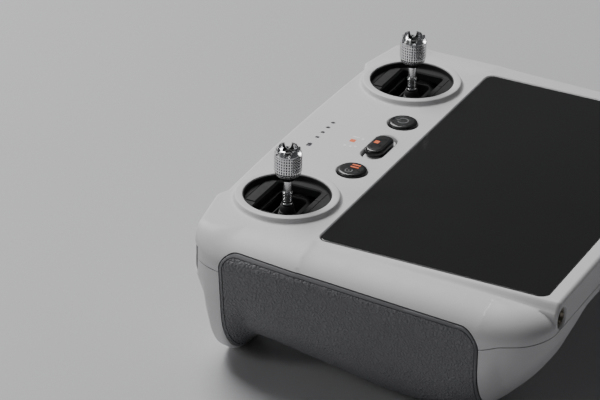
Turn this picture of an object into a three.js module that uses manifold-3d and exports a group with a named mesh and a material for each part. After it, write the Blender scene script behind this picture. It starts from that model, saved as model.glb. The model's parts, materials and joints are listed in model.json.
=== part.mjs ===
// Handheld drone remote controller with a built-in screen, lying on its back.
// Millimetres. +X to the right, +Y up the face towards the sticks, +Z out of the face.
// The origin is the centre of the bounding box, on the surface that the grips rest on.
import * as THREE from 'three';
import { mergeVertices } from 'three/addons/utils/BufferGeometryUtils.js';
import Module from 'manifold-3d';

const wasm = await Module();
wasm.setup();

// ---------------------------------------------------------------- driving dimensions

const HALF_WIDTH = 84.2;
const HALF_HEIGHT = 61.85;
const FACE_Z = 44.5;
const RIM_Z = 46.2;
const GAP = 0.3;
const FINEST_EDGE = 0.06;
const EDGE_BAND = 14;

const WALL = { side: 3.8, top: 2.2, bottom: 3.8 };
const COVER = { skin: 1.6, seat: 2.4 };
const UPPER_CORNER = { x: 66.2, y: 43.5, r: 18 };
const LOWER_CORNER = { x: 70, y: -41.55, rx: 14.2, ry: 20.3 };
const UPPER_EDGE = { centreY: 61.2, crown: 1.0, flareX: 50, peakX: 55, peakY: 61.9, endX: 74, endY: 58.4 };
const SIDE_ROUND = { width: 16, drop: 9 };
const UNDER_ROUND = { width: 18, rise: 20 };
const CENTRE_BACK_Z = 20.5;

const GLASS = { width: 133, height: 76.8, radius: 3, thickness: 1.2, top: 44.4, y: -17.97 };
const WINDOW = { width: 127, height: 71.6, radius: 2 };
const DISPLAY = { width: 124.4, height: 70.4, thickness: 2 };

const STICK = { x: 47.15, y: 40.7, pivotZ: 35, openingR: 14.25, rimR: 16.9, bossR: 18.6 };
const CONTROLS_X = -0.7;
const BUTTON = { x: 19.45, y: 30.8, r: 4.9, top: 45.5 };
const SLIDER = { y: 30.25, length: 13, width: 6.8, slotLength: 18.4, slotWidth: 7.6, top: 46.0 };
const LED_Y = 51.25;
const LED_XS = [-4.0, 0, 4.0, 7.9];
const STATUS_LED_X = -10;
const STRAP = { x: 66.25, z: 38.75, r: 3 };
const DIAL = { x: 41, y: 57.25, z: 33, r: 4.6, length: 12 };
const CUSTOM_BUTTON = { x: 24, y: 38, r: 4 };
const TRAY = { x: 14, y: 2, width: 9.4, length: 24, depth: 7.6, wall: 1.2 };
const CELL = { x: 64, y: -9.5, z: 20.5, r: 9, length: 65 };
const SCREWS = [[30, 25.4], [29.5, 54.5], [40, -55.2]];

// Underside of a grip along Y: rounded finger lobe, groove, palm swell, rise to the bottom edge.
const GRIP_PROFILE = [
  [-61.85, 30], [-58.75, 23.1], [-54.55, 16.9], [-50.15, 12], [-44.45, 6.7], [-37.5, 2], [-30, 0],
  [-18, 0], [15.5, 4.5], [36.5, 7.5], [46, 0], [49, 0], [51.2, 4.8], [53.4, 12.4], [56.7, 20.2],
  [59.5, 24.5], [61.85, 30],
];
// Height of the joint line between the front and the rear shell along Y.
const PARTING_PROFILE = [[-61.85, 35], [-56, 34], [-49.5, 33.5], [-41.5, 31.2], [45, 34.5], [61.85, 34.5]];

// ---------------------------------------------------------------- materials

const finish = (color, roughness, metalness) => ({ color, roughness, metalness });
const SHELL = finish(0xc0bfc1, 0.55, 0);
const RUBBER = finish(0x4a4a4d, 0.8, 0);
const BLACK = finish(0x161617, 0.5, 0);
const GLASS_BLACK = finish(0x0c0c0d, 0.08, 0);
const STEEL = finish(0xc8c8ca, 0.22, 1);
const BRASS = finish(0x9a7440, 0.35, 1);
const ALUMINIUM = finish(0x9c9ea2, 0.45, 1);
const BOARD = finish(0x1f4a35, 0.5, 0);
const CELL_WRAP = finish(0x2d5f8a, 0.4, 0);
const LENS = finish(0x4a4a4e, 0.3, 0);
const COPPER_FLEX = finish(0xa8702c, 0.4, 0);

// ---------------------------------------------------------------- geometry helpers

const clamp = (value, low, high) => Math.min(high, Math.max(low, value));
const mix = (a, b, t) => a + (b - a) * t;
const smooth = (t) => {
  const s = clamp(t, 0, 1);
  return s * s * (3 - 2 * s);
};
// Depth of a quarter-ellipse edge at a distance from the edge.
function quarterEllipse(distance, width, depth) {
  const t = clamp((width - distance) / width, 0, 1);
  return depth * (1 - Math.sqrt(1 - t * t));
}

// Smooth curve through a list of [position, value] with no overshoot.
function profileAt(points, position) {
  const last = points.length - 1;
  const p = clamp(position, points[0][0], points[last][0]);
  let i = 0;
  while (i < last - 1 && p > points[i + 1][0]) i += 1;
  const slope = (k) => (points[k + 1][1] - points[k][1]) / (points[k + 1][0] - points[k][0]);
  const tangent = (k) => {
    if (k === 0) return slope(0);
    if (k === last) return slope(last - 1);
    const before = slope(k - 1);
    const after = slope(k);
    return before * after <= 0 ? 0 : (2 * before * after) / (before + after);
  };
  const width = points[i + 1][0] - points[i][0];
  const t = (p - points[i][0]) / width;
  const h = t * t * (3 - 2 * t);
  const bend0 = t * (1 - t) * (1 - t) * width;
  const bend1 = -t * t * (1 - t) * width;
  return mix(points[i][1], points[i + 1][1], h) + bend0 * tangent(i) + bend1 * tangent(i + 1);
}

// Joins shared vertices, drops empty triangles and turns the faces outward.
function closed(source) {
  const bare = new THREE.BufferGeometry();
  bare.setAttribute('position', source.getAttribute('position'));
  if (source.index) bare.setIndex(source.index);
  const merged = mergeVertices(bare, 1e-4);
  const position = merged.getAttribute('position');
  const index = merged.index.array;
  const kept = [];
  let volume = 0;
  const [a, b, c] = [new THREE.Vector3(), new THREE.Vector3(), new THREE.Vector3()];
  for (let i = 0; i < index.length; i += 3) {
    const [p, q, r] = [index[i], index[i + 1], index[i + 2]];
    if (p === q || q === r || r === p) continue;
    kept.push(p, q, r);
    volume += a.fromBufferAttribute(position, p)
      .dot(b.fromBufferAttribute(position, q).cross(c.fromBufferAttribute(position, r)));
  }
  if (volume < 0) {
    for (let i = 0; i < kept.length; i += 3) [kept[i + 1], kept[i + 2]] = [kept[i + 2], kept[i + 1]];
  }
  merged.setIndex(kept);
  return merged;
}

function solid(geometry) {
  const clean = closed(geometry);
  return new wasm.Manifold(new wasm.Mesh({
    numProp: 3,
    vertProperties: new Float32Array(clean.getAttribute('position').array),
    triVerts: new Uint32Array(clean.index.array),
  }));
}

// The largest body of a cut, without the crumbs that a cut leaves at a crossing edge.
const mainBody = (cut) => cut.decompose().reduce((a, b) => (b.volume() > a.volume() ? b : a));

function geometryOf(body) {
  const mesh = mainBody(body.simplify(FINEST_EDGE)).getMesh();
  const geometry = new THREE.BufferGeometry();
  geometry.setAttribute('position', new THREE.BufferAttribute(new Float32Array(mesh.vertProperties), 3));
  geometry.setIndex(new THREE.BufferAttribute(new Uint32Array(mesh.triVerts), 1));
  return geometry;
}

const AXES = {
  x: new THREE.Matrix4().makeBasis(
    new THREE.Vector3(0, 1, 0), new THREE.Vector3(0, 0, 1), new THREE.Vector3(1, 0, 0)),
  y: new THREE.Matrix4().makeBasis(
    new THREE.Vector3(0, 0, 1), new THREE.Vector3(1, 0, 0), new THREE.Vector3(0, 1, 0)),
  z: new THREE.Matrix4(),
};

// A flat outline pushed along an axis. Outline axes: Y,Z along x; Z,X along y; X,Y along z.
function prism(shape, axis, from, to, curveSegments = 6) {
  const geometry = new THREE.ExtrudeGeometry(shape, {
    depth: to - from, bevelEnabled: false, curveSegments, steps: 1,
  });
  geometry.translate(0, 0, from);
  return geometry.applyMatrix4(AXES[axis]);
}

function roundedRect(width, height, radius) {
  const [w, h] = [width / 2, height / 2];
  const shape = new THREE.Shape();
  shape.moveTo(-w + radius, -h);
  shape.lineTo(w - radius, -h);
  shape.absarc(w - radius, -h + radius, radius, -Math.PI / 2, 0);
  shape.lineTo(w, h - radius);
  shape.absarc(w - radius, h - radius, radius, 0, Math.PI / 2);
  shape.lineTo(-w + radius, h);
  shape.absarc(-w + radius, h - radius, radius, Math.PI / 2, Math.PI);
  shape.lineTo(-w, -h + radius);
  shape.absarc(-w + radius, -h + radius, radius, Math.PI, 1.5 * Math.PI);
  return shape;
}

const outline = (points) => new THREE.Shape(points.map(([a, b]) => new THREE.Vector2(a, b)));

function box(x0, x1, y0, y1, z0, z1) {
  return new THREE.BoxGeometry(x1 - x0, y1 - y0, z1 - z0)
    .translate((x0 + x1) / 2, (y0 + y1) / 2, (z0 + z1) / 2);
}

// A [radius, height] profile turned about the Z axis.
function turned(profile, segments = 24) {
  return new THREE.LatheGeometry(profile.map(([r, z]) => new THREE.Vector2(r, z)), segments)
    .rotateX(Math.PI / 2);
}

function rod(axis, radius, from, to, segments = 20) {
  const geometry = new THREE.CylinderGeometry(radius, radius, to - from, segments)
    .translate(0, (from + to) / 2, 0);
  if (axis === 'x') return geometry.rotateZ(-Math.PI / 2);
  if (axis === 'z') return geometry.rotateX(Math.PI / 2);
  return geometry;
}

const mirrored = (geometry) => closed(geometry.clone().scale(-1, 1, 1));

const assembly = new THREE.Group();

function addPart(name, geometry, look, parent = assembly) {
  const mesh = new THREE.Mesh(closed(geometry), new THREE.MeshStandardMaterial(look));
  mesh.name = name;
  parent.add(mesh);
  return mesh;
}

// Adds a piece on the left and its mirror image on the right.
function addPair(name, leftGeometry, look) {
  addPart(`left_${name}`, leftGeometry, look);
  addPart(`right_${name}`, mirrored(leftGeometry), look);
}

// ---------------------------------------------------------------- outer form

function upperEdge(x) {
  const a = Math.abs(x);
  const e = UPPER_EDGE;
  if (a < e.flareX) return e.centreY - e.crown * (a / e.flareX) ** 2;
  if (a < e.peakX) return mix(e.centreY - e.crown, e.peakY, smooth((a - e.flareX) / (e.peakX - e.flareX)));
  const slope = mix(e.peakY, e.endY, (a - e.peakX) / (e.endX - e.peakX));
  if (a <= UPPER_CORNER.x) return slope;
  const reach = clamp((a - UPPER_CORNER.x) / UPPER_CORNER.r, 0, 1);
  return Math.min(slope, UPPER_CORNER.y + UPPER_CORNER.r * Math.sqrt(1 - reach * reach));
}

function lowerEdge(x) {
  const reach = clamp((Math.abs(x) - LOWER_CORNER.x) / LOWER_CORNER.rx, 0, 1);
  if (reach === 0) return -HALF_HEIGHT;
  return LOWER_CORNER.y - LOWER_CORNER.ry * Math.sqrt(1 - reach * reach);
}

function sideEdge(y) {
  if (y > UPPER_CORNER.y) {
    const reach = clamp((y - UPPER_CORNER.y) / UPPER_CORNER.r, 0, 1);
    return UPPER_CORNER.x + UPPER_CORNER.r * Math.sqrt(1 - reach * reach);
  }
  if (y < LOWER_CORNER.y) {
    const reach = clamp((LOWER_CORNER.y - y) / LOWER_CORNER.ry, 0, 1);
    return LOWER_CORNER.x + LOWER_CORNER.rx * Math.sqrt(1 - reach * reach);
  }
  return HALF_WIDTH;
}

// The wing beside the screen frame steps down, deeper towards the bottom edge.
function wingStep(x, y) {
  const along = clamp((20.45 - y) / 82, 0, 1.1);
  const depth = 1.5 * along ** 0.55 + 1.6 * along ** 5;
  return depth * smooth((Math.abs(x) - 67.2) / 3.6);
}

function faceHeight(x, y) {
  const a = Math.abs(x);
  let side = quarterEllipse(HALF_WIDTH - a, SIDE_ROUND.width, SIDE_ROUND.drop);
  if (a > UPPER_CORNER.x && y > UPPER_CORNER.y) {
    const reach = Math.hypot(a - UPPER_CORNER.x, y - UPPER_CORNER.y);
    const turn = ((y - UPPER_CORNER.y) / Math.max(reach, 1e-6)) ** 2;
    const edge = UPPER_CORNER.r - reach;
    side = quarterEllipse(edge, mix(SIDE_ROUND.width, 1.2, turn), mix(SIDE_ROUND.drop, 1, turn));
  }
  if (a > LOWER_CORNER.x && y < LOWER_CORNER.y) {
    const [u, v] = [(a - LOWER_CORNER.x) / LOWER_CORNER.rx, (y - LOWER_CORNER.y) / LOWER_CORNER.ry];
    const reach = Math.hypot(u, v);
    const turn = (v / Math.max(reach, 1e-6)) ** 2;
    side = quarterEllipse((1 - reach) * 17, mix(SIDE_ROUND.width, 8, turn), mix(SIDE_ROUND.drop, 5, turn));
  }
  const upper = quarterEllipse(upperEdge(x) - y, 1.2, 1);
  const lower = a < LOWER_CORNER.x ? quarterEllipse(y + HALF_HEIGHT, 1.5, 1.5) : 0;
  return FACE_Z - wingStep(x, y) - Math.max(side, upper, lower);
}

function backHeight(x, y) {
  const a = Math.abs(x);
  const grip = profileAt(GRIP_PROFILE, y);
  const sideRise = quarterEllipse(sideEdge(y) - a, UNDER_ROUND.width, clamp(31 - grip, 1.5, UNDER_ROUND.rise));
  const centre = CENTRE_BACK_Z + 12.3 * smooth((-15 - y) / 46.85) + quarterEllipse(upperEdge(x) - y, 4, 4);
  return mix(centre, grip, smooth((a - 44) / 16)) + sideRise;
}

// Grid lines of the form: distances across from the middle, and along from the bottom edge.
const OUTER_GRID = {
  across: [0, 44, 50, 55, 60, 66.2, 70, 73, 76.5, 80, 82.6, HALF_WIDTH],
  along: [0, 1.5, 4, 8, 12.5, 18, 24, 32, 44, 62, 80, 90, 98, 104, 108, 111, 113.5, 116, 119, 121.5,
    2 * HALF_HEIGHT],
};
const INNER_GRID = {
  across: [0, 44, 52, 60, 67, 73, 80, HALF_WIDTH],
  along: [0, 6, 14, 24, 44, 77, 98, 108, 113, 118, 2 * HALF_HEIGHT],
};

// A distance from the edge, moved in by the wall thickness only near that edge.
const pulledIn = (distance, wall) => Math.max(distance, wall + distance * (1 - wall / EDGE_BAND));

// The outer form, shrunk by a wall thickness at the sides, the face and the back.
function formBody(grid, side = 0, top = 0, bottom = 0) {
  const columns = [...grid.across.slice(1).reverse().map((x) => -x), ...grid.across];
  const [nx, ny] = [columns.length, grid.along.length];
  const positions = [];
  const sheets = [(x, y) => faceHeight(x, y) - top, (x, y) => backHeight(x, y) + bottom];
  for (const height of sheets) {
    for (const x of columns) {
      for (const along of grid.along) {
        const y = mix(lowerEdge(x), upperEdge(x), along / (2 * HALF_HEIGHT));
        const innerX = Math.sign(x) * (HALF_WIDTH - pulledIn(HALF_WIDTH - Math.abs(x), side));
        const fromLower = pulledIn(y - lowerEdge(x), side) - (y - lowerEdge(x));
        const fromUpper = pulledIn(upperEdge(x) - y, side) - (upperEdge(x) - y);
        positions.push(innerX, y + fromLower - fromUpper, height(x, y));
      }
    }
  }
  const at = (sheet, i, j) => sheet * nx * ny + i * ny + j;
  const index = [];
  const quad = (a, b, c, d) => index.push(a, b, c, a, c, d);
  for (let i = 0; i < nx - 1; i += 1) {
    for (let j = 0; j < ny - 1; j += 1) {
      const face = [at(0, i, j), at(0, i + 1, j), at(0, i + 1, j + 1), at(0, i, j + 1)];
      const back = [at(1, i, j + 1), at(1, i + 1, j + 1), at(1, i + 1, j), at(1, i, j)];
      // The diagonals of the right half mirror those of the left half.
      if (i >= (nx - 1) / 2) {
        face.push(face.shift());
        back.push(back.shift());
      }
      quad(...face);
      quad(...back);
    }
    quad(at(0, i, 0), at(1, i, 0), at(1, i + 1, 0), at(0, i + 1, 0));
    quad(at(0, i, ny - 1), at(0, i + 1, ny - 1), at(1, i + 1, ny - 1), at(1, i, ny - 1));
  }
  for (let j = 0; j < ny - 1; j += 1) {
    quad(at(0, 0, j), at(0, 0, j + 1), at(1, 0, j + 1), at(1, 0, j));
    quad(at(0, nx - 1, j), at(1, nx - 1, j), at(1, nx - 1, j + 1), at(0, nx - 1, j + 1));
  }
  const geometry = new THREE.BufferGeometry();
  geometry.setAttribute('position', new THREE.Float32BufferAttribute(positions, 3));
  geometry.setIndex(index);
  return solid(geometry);
}

// Everything above the joint line, or below it.
function partingSide(above, offset) {
  const pastEnd = (y) => (Math.abs(y) > 60 ? Math.sign(y) * 66 : y);
  const line = PARTING_PROFILE.map(([y, z]) => [pastEnd(y), z + offset]);
  const far = above ? 60 : -10;
  return solid(prism(outline([...line, [66, far], [-66, far]]), 'x', -100, 100));
}

// ---------------------------------------------------------------- openings shared by both shells

// Side view of the rubber grip cover: rounded upper corners and a top border that falls towards the front.
function gripOutline(grow) {
  const [rear, front, top] = [45.7 + grow, -42.1 - grow, 40.9 + grow];
  const [rearRadius, frontRadius, fall] = [5, 6.5, 0.0455];
  const shape = new THREE.Shape();
  shape.moveTo(front, -5);
  shape.lineTo(rear - 3, -5);
  shape.lineTo(rear, top - rearRadius - 3);
  shape.absarc(rear - rearRadius, top - rearRadius, rearRadius, 0, Math.PI / 2);
  shape.absarc(front + frontRadius, top - frontRadius, frontRadius, Math.PI / 2, Math.PI);
  return outline(shape.getPoints(6).map(({ x, y }) => [x, y > 0 ? y + fall * (x - 45.7) : y]));
}

const gripRegion = (grow) => solid(prism(gripOutline(grow), 'x', -90, -58 + grow));

// Plan view of a shoulder button: a curved cap on the rounded corner and an inner flange.
function shoulderPlan(outerR, innerR, startDegrees, endDegrees) {
  const [cx, cy] = [-UPPER_CORNER.x - 1.45, UPPER_CORNER.y + 0.35];
  const [start, end] = [THREE.MathUtils.degToRad(startDegrees), THREE.MathUtils.degToRad(endDegrees)];
  const shape = new THREE.Shape();
  shape.absarc(cx, cy, outerR, start, end, false);
  shape.absarc(cx, cy, innerR, end, start, true);
  return shape;
}

const shoulderButton = () => solid(prism(shoulderPlan(16.4, 9.5, 100, 133.6), 'z', 29.5, 38.5))
  .add(solid(prism(shoulderPlan(9.9, 8.4, 95, 138.6), 'z', 28.5, 39.5)));

const shoulderHole = () => solid(prism(shoulderPlan(22, 9.9, 97.6, 136), 'z', 29.2, 38.8))
  .add(solid(prism(shoulderPlan(10.3, 5, 90, 146), 'z', 28.1, 39.9)));
const dialHole = () => solid(box(-DIAL.x - 6.4, -DIAL.x + 6.4, 52.6, 66, DIAL.z - 5, DIAL.z + 5))
  .add(solid(box(-DIAL.x - 8.2, -DIAL.x + 8.2, 50.6, 59.4, DIAL.z - 5.3, DIAL.z + 5.3)));

const bothSides = (makeSolid) => {
  const left = makeSolid();
  return left.add(solid(mirrored(geometryOf(left))));
};

// ---------------------------------------------------------------- shells

const outer = formBody(OUTER_GRID);
const hollow = outer.subtract(formBody(INNER_GRID, WALL.side, WALL.top, WALL.bottom));
const gripSeat = bothSides(() => gripRegion(GAP))
  .subtract(formBody(INNER_GRID, COVER.seat, COVER.seat, COVER.seat));
const sideOpenings = bothSides(shoulderHole).add(bothSides(dialHole));

function screwPlaces(visit) {
  for (const [x, y] of SCREWS) {
    visit(-x, y, 'left');
    visit(x, y, 'right');
  }
}

function frontShell() {
  let shell = mainBody(hollow.intersect(partingSide(true, GAP / 2)));
  screwPlaces((x, y) => {
    const foot = backHeight(x, y) + 4.4;
    shell = shell.subtract(solid(rod('z', 1.6, -5, foot, 12).translate(x, y, 0)));
    shell = shell.add(solid(rod('z', 2.6, foot, 43, 12).translate(x, y, 0)).intersect(outer));
    shell = shell.subtract(solid(rod('z', 1.25, foot - 1, foot + 6, 10).translate(x, y, 0)));
  });
  shell = shell.subtract(gripSeat).subtract(sideOpenings);
  const pocket = roundedRect(GLASS.width + 0.6, GLASS.height + 0.6, GLASS.radius + GAP);
  const window = roundedRect(WINDOW.width, WINDOW.height, WINDOW.radius);
  const pocketFloor = GLASS.top - GLASS.thickness - GAP;
  shell = shell.subtract(solid(prism(pocket, 'z', pocketFloor, 60, 4).translate(0, GLASS.y, 0)));
  shell = shell.subtract(solid(prism(window, 'z', 38, 60, 3).translate(0, GLASS.y, 0)));
  for (const side of [-1, 1]) {
    const well = rod('z', STICK.openingR + 1.2, 30, 60, 32).translate(side * STICK.x, STICK.y, 0);
    const boss = turned([
      [STICK.openingR, 42.3], [STICK.bossR, 42.3], [STICK.bossR, FACE_Z], [17.4, 45.3],
      [STICK.rimR, RIM_Z], [STICK.openingR, RIM_Z], [STICK.openingR, 42.3],
    ], 36).translate(side * STICK.x, STICK.y, 0);
    shell = shell.subtract(solid(well)).add(solid(boss));
    const buttonX = CONTROLS_X + side * BUTTON.x;
    shell = shell.subtract(solid(rod('z', BUTTON.r + GAP, 30, 60, 20).translate(buttonX, BUTTON.y, 0)));
    shell = shell.subtract(solid(rod('y', STRAP.r + GAP, -70, -50, 16).translate(side * STRAP.x, 0, STRAP.z)));
  }
  const slot = roundedRect(SLIDER.slotLength, SLIDER.slotWidth, SLIDER.slotWidth / 2 - 0.01);
  shell = shell.subtract(solid(prism(slot, 'z', 43, 60).translate(CONTROLS_X, SLIDER.y, 0)));
  shell = shell.subtract(solid(box(-5, 5, -1.4, 1.4, 38, 60).translate(CONTROLS_X, SLIDER.y, 0)));
  for (const x of LED_XS) shell = shell.subtract(solid(rod('z', 0.75, 38, 60, 10).translate(x, LED_Y, 0)));
  shell = shell.subtract(solid(rod('z', 1.1, 38, 60, 12).translate(STATUS_LED_X, LED_Y, 0)));
  shell = shell.subtract(solid(prism(roundedRect(3.9, 9.6, 1.6), 'y', -70, -50, 4).translate(0, 0, 38.3)));
  shell = shell.subtract(solid(box(13.2, 26.8, -70, -50, 36.5, 38.9)));
  return geometryOf(shell);
}

function rearShell() {
  let shell = hollow.intersect(partingSide(false, -GAP / 2));
  shell = shell.subtract(gripSeat).subtract(sideOpenings);
  screwPlaces((x, y) => {
    const seat = backHeight(x, y) + 2;
    shell = shell.subtract(solid(rod('z', 2.6, -5, seat, 14).translate(x, y, 0)));
    shell = shell.subtract(solid(rod('z', 1.2, -5, 40, 10).translate(x, y, 0)));
    shell = shell.subtract(solid(rod('z', 2.9, seat + 2.1, 60, 12).translate(x, y, 0)));
  });
  for (const side of [-1, 1]) {
    const slot = roundedRect(TRAY.width, TRAY.length, 3);
    shell = shell.subtract(solid(prism(slot, 'z', 10, 26, 4).translate(side * TRAY.x, TRAY.y, 0)));
    const hole = rod('z', CUSTOM_BUTTON.r + GAP, 10, 26, 16);
    shell = shell.subtract(solid(hole.translate(side * CUSTOM_BUTTON.x, CUSTOM_BUTTON.y, 0)));
  }
  for (let i = -3; i <= 3; i += 1) {
    shell = shell.subtract(solid(box(i * 3 - 0.7, i * 3 + 0.7, 20, 30, 10, 26)));
  }
  return geometryOf(shell);
}

const gripCover = () => geometryOf(
  outer.intersect(gripRegion(0)).subtract(formBody(INNER_GRID, COVER.skin, COVER.skin, COVER.skin)));

// ---------------------------------------------------------------- screen and electronics

function screen() {
  const glass = prism(roundedRect(GLASS.width, GLASS.height, GLASS.radius), 'z', GLASS.top - GLASS.thickness,
    GLASS.top, 5).translate(0, GLASS.y, 0);
  addPart('screen_glass', glass, GLASS_BLACK);
  const panelTop = GLASS.top - GLASS.thickness - GAP;
  const sheet = roundedRect(DISPLAY.width, DISPLAY.height, 1);
  const panel = prism(sheet, 'z', panelTop - DISPLAY.thickness, panelTop, 2);
  addPart('display_panel', panel.translate(0, GLASS.y, 0), BLACK);
  const plate = solid(box(-60, 60, -52.4, 15.8, 39.4, 40.5));
  const ports = solid(box(24, 40, -48, -40, 38, 42)).add(solid(box(-40, -24, -48, -40, 38, 42)));
  addPart('midframe', geometryOf(plate.subtract(ports)), ALUMINIUM);
  const flexPath = [[-46.5, 40.2], [-46.5, 37.6], [-43.5, 37.6], [-43.5, 36.8], [-42.9, 36.8], [-42.9, 38.2],
    [-45.9, 38.2], [-45.9, 40.2]];
  addPart('display_flex', prism(outline(flexPath), 'x', 26, 38), COPPER_FLEX);
}

function electronics() {
  addPart('main_board', prism(roundedRect(100, 57.5, 3), 'z', 35.2, 36.4, 3).translate(0, -21.25, 0), BOARD);
  addPart('heat_shield', prism(roundedRect(44, 30, 2), 'z', 32.4, 34.9, 3).translate(-16, -22, 0), ALUMINIUM);
  addPart('key_board', prism(roundedRect(48, 25, 2), 'z', 37, 38.2, 3).translate(0, 41.5, 0), BOARD);
  addPart('speaker', prism(roundedRect(22, 12, 3), 'z', 24.7, 29, 4).translate(0, 25, 0), BLACK);
  const port = solid(prism(roundedRect(3.3, 9, 1.4), 'y', -61.5, -54, 4).translate(0, 0, 38.3));
  const mouth = solid(prism(roundedRect(2.5, 8.2, 1.1), 'y', -62, -55, 4).translate(0, 0, 38.3));
  addPart('usb_c_port', geometryOf(port.subtract(mouth)), STEEL);
  const socket = solid(box(13.5, 26.5, -61.2, -47, 36.8, 38.6));
  addPart('card_socket', geometryOf(socket.subtract(solid(box(14.4, 25.6, -62, -49, 37.2, 38.1)))), STEEL);
  addPair('antenna', box(-26, -3, 53.4, 54.2, 26, 34), COPPER_FLEX);
  addPair('battery_cell', rod('y', CELL.r, CELL.y - CELL.length / 2, CELL.y + CELL.length / 2, 24)
    .translate(-CELL.x, 0, CELL.z), CELL_WRAP);
  let guide = solid(box(-12.5, 9.5, LED_Y - 1.3, LED_Y + 1.3, 40.2, 42));
  for (const x of LED_XS) guide = guide.add(solid(rod('z', 0.45, 41.5, 44.4, 8).translate(x, LED_Y, 0)));
  guide = guide.add(solid(rod('z', 0.8, 41.5, 44.4, 10).translate(STATUS_LED_X, LED_Y, 0)));
  addPart('led_light_guide', geometryOf(guide), LENS);
}

// ---------------------------------------------------------------- front controls

function faceButton() {
  return turned([
    [0, 40.2], [3.4, 40.2], [3.4, 40.7], [6.2, 40.7], [6.2, 42], [BUTTON.r, 42], [BUTTON.r, BUTTON.top - 0.7],
    [BUTTON.r - 0.8, BUTTON.top], [0, BUTTON.top],
  ], 20);
}

function frontControls() {
  addPart('return_button', faceButton(), BLACK).position.set(CONTROLS_X - BUTTON.x, BUTTON.y, 0);
  addPart('power_button', faceButton(), BLACK).position.set(CONTROLS_X + BUTTON.x, BUTTON.y, 0);
  const cap = roundedRect(SLIDER.length, SLIDER.width, SLIDER.width / 2 - 0.01);
  const slider = solid(prism(cap, 'z', 43.4, SLIDER.top)).add(solid(box(-2, 2, -1, 1, 40.6, 43.5)));
  addPart('mode_slider', geometryOf(slider), BLACK).position.set(CONTROLS_X, SLIDER.y, 0);
}

// ---------------------------------------------------------------- stick units, built about the pivot

function stickHousing() {
  const wall = solid(box(-16.5, 16.5, -10, 10, -10, 5)).subtract(solid(box(-15, 15, -8.5, 8.5, -8.6, 6)));
  const flange = solid(rod('z', 15.4, 3.8, 5, 28)).subtract(solid(box(-15, 15, -8.5, 8.5, -9, 6)));
  const posts = solid(box(12, 15.2, -3.5, 3.5, -9, 3)).add(solid(box(-15.2, -12, -3.5, 3.5, -9, 3)));
  return geometryOf(wall.add(flange).add(posts).subtract(solid(rod('x', 1.8, -18, 18, 16))));
}

// A flange under the shell with a raised disc in the well, both open where the stick moves.
function dustPlate() {
  const passage = solid(prism(roundedRect(25, 12.5, 1), 'z', 0, 7, 3));
  const trough = solid(prism(roundedRect(20, 15.2, 1.2), 'z', 5, 10, 3));
  const flange = solid(rod('z', 15.4, 5.3, 6.5, 28)).subtract(passage);
  const disc = solid(rod('z', STICK.openingR - 0.35, 6.4, 9.5, 28)).subtract(trough);
  return geometryOf(flange.add(disc));
}

// Outer frame: a curved saddle about the X axis between two discs with trunnions.
function stickRing() {
  const saddle = new THREE.Shape();
  const [low, high] = [THREE.MathUtils.degToRad(-10), THREE.MathUtils.degToRad(190)];
  saddle.absarc(0, 0, 6, low, high, false);
  saddle.absarc(0, 0, 5, high, low, true);
  let ring = solid(prism(saddle, 'x', -10.8, 10.8, 6));
  for (const [from, to] of [[-11.5, -10.3], [10.3, 11.5]]) ring = ring.add(solid(rod('x', 6, from, to, 16)));
  ring = ring.add(solid(rod('x', 1.5, 11, 15.2, 14))).add(solid(rod('x', 1.5, -15.2, -11, 14)));
  ring = ring.subtract(solid(box(-8.8, 8.8, -3.3, 3.3, 2, 8)));
  return geometryOf(ring.subtract(solid(rod('y', 1.4, -8, 8, 14))));
}

function stickBlock() {
  const dome = turned([
    [0, -4.2], [2.4, -3.5], [3.8, -2], [4.2, 0], [3.9, 1.8], [3.2, 3.6], [2.8, 5], [2.4, 6.6], [2, 7.4],
    [1.5, 7.4], [1.5, 3.5], [0, 3.5],
  ], 12);
  return geometryOf(solid(dome).add(solid(rod('y', 1.1, -5.9, 5.9, 12))));
}

function stickShaft() {
  return turned([
    [0, 3.8], [1.2, 3.8], [1.2, 7.7], [1.9, 7.7], [1.9, 8.1], [1.55, 8.4], [1.55, 11.2], [1.75, 11.4],
    [1.75, 11.9], [1.35, 12.3], [1.3, 22.6], [0, 22.6],
  ], 10);
}

function stickKnob() {
  return turned([
    [0, 23], [1.65, 23], [1.65, 16.3], [2.2, 16.3], [3.6, 18.1], [4.2, 18.8], [4.5, 20.5], [4.5, 25.4],
    [4.25, 26.4], [3.9, 27.7], [3.1, 27.7], [2.5, 26.6], [0, 26.3],
  ], 20);
}

class Helix extends THREE.Curve {
  constructor(radius, height, turns) {
    super();
    Object.assign(this, { radius, height, turns });
  }

  getPoint(t, target = new THREE.Vector3()) {
    const angle = t * this.turns * 2 * Math.PI;
    return target.set(this.radius * Math.cos(angle), this.radius * Math.sin(angle), t * this.height);
  }
}

function returnSpring() {
  const wire = new THREE.Shape();
  wire.absarc(0, 0, 0.3, 0, 2 * Math.PI);
  return new THREE.ExtrudeGeometry(wire, {
    steps: 24, curveSegments: 2, bevelEnabled: false, extrudePath: new Helix(1.5, 8, 4),
  }).translate(0, -12.4, -8.5);
}

function stickUnit(side, x) {
  const unit = new THREE.Group();
  unit.position.set(x, STICK.y, STICK.pivotZ);
  assembly.add(unit);
  addPart(`${side}_stick_housing`, stickHousing(), BLACK, unit);
  addPart(`${side}_dust_plate`, dustPlate(), BLACK, unit);
  addPart(`${side}_stick_ring`, stickRing(), BLACK, unit);
  addPart(`${side}_stick_block`, stickBlock(), BLACK, unit);
  addPart(`${side}_stick_shaft`, stickShaft(), STEEL, unit);
  addPart(`${side}_stick_knob`, stickKnob(), STEEL, unit);
  addPart(`${side}_return_spring`, returnSpring(), STEEL, unit);
}

// ---------------------------------------------------------------- edge and back controls

function dialRoller() {
  const half = DIAL.length / 2;
  const axle = solid(rod('x', 1, -half - 1.5, half + 1.5, 12));
  return geometryOf(solid(rod('x', DIAL.r, -half, half, 24)).add(axle));
}

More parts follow.
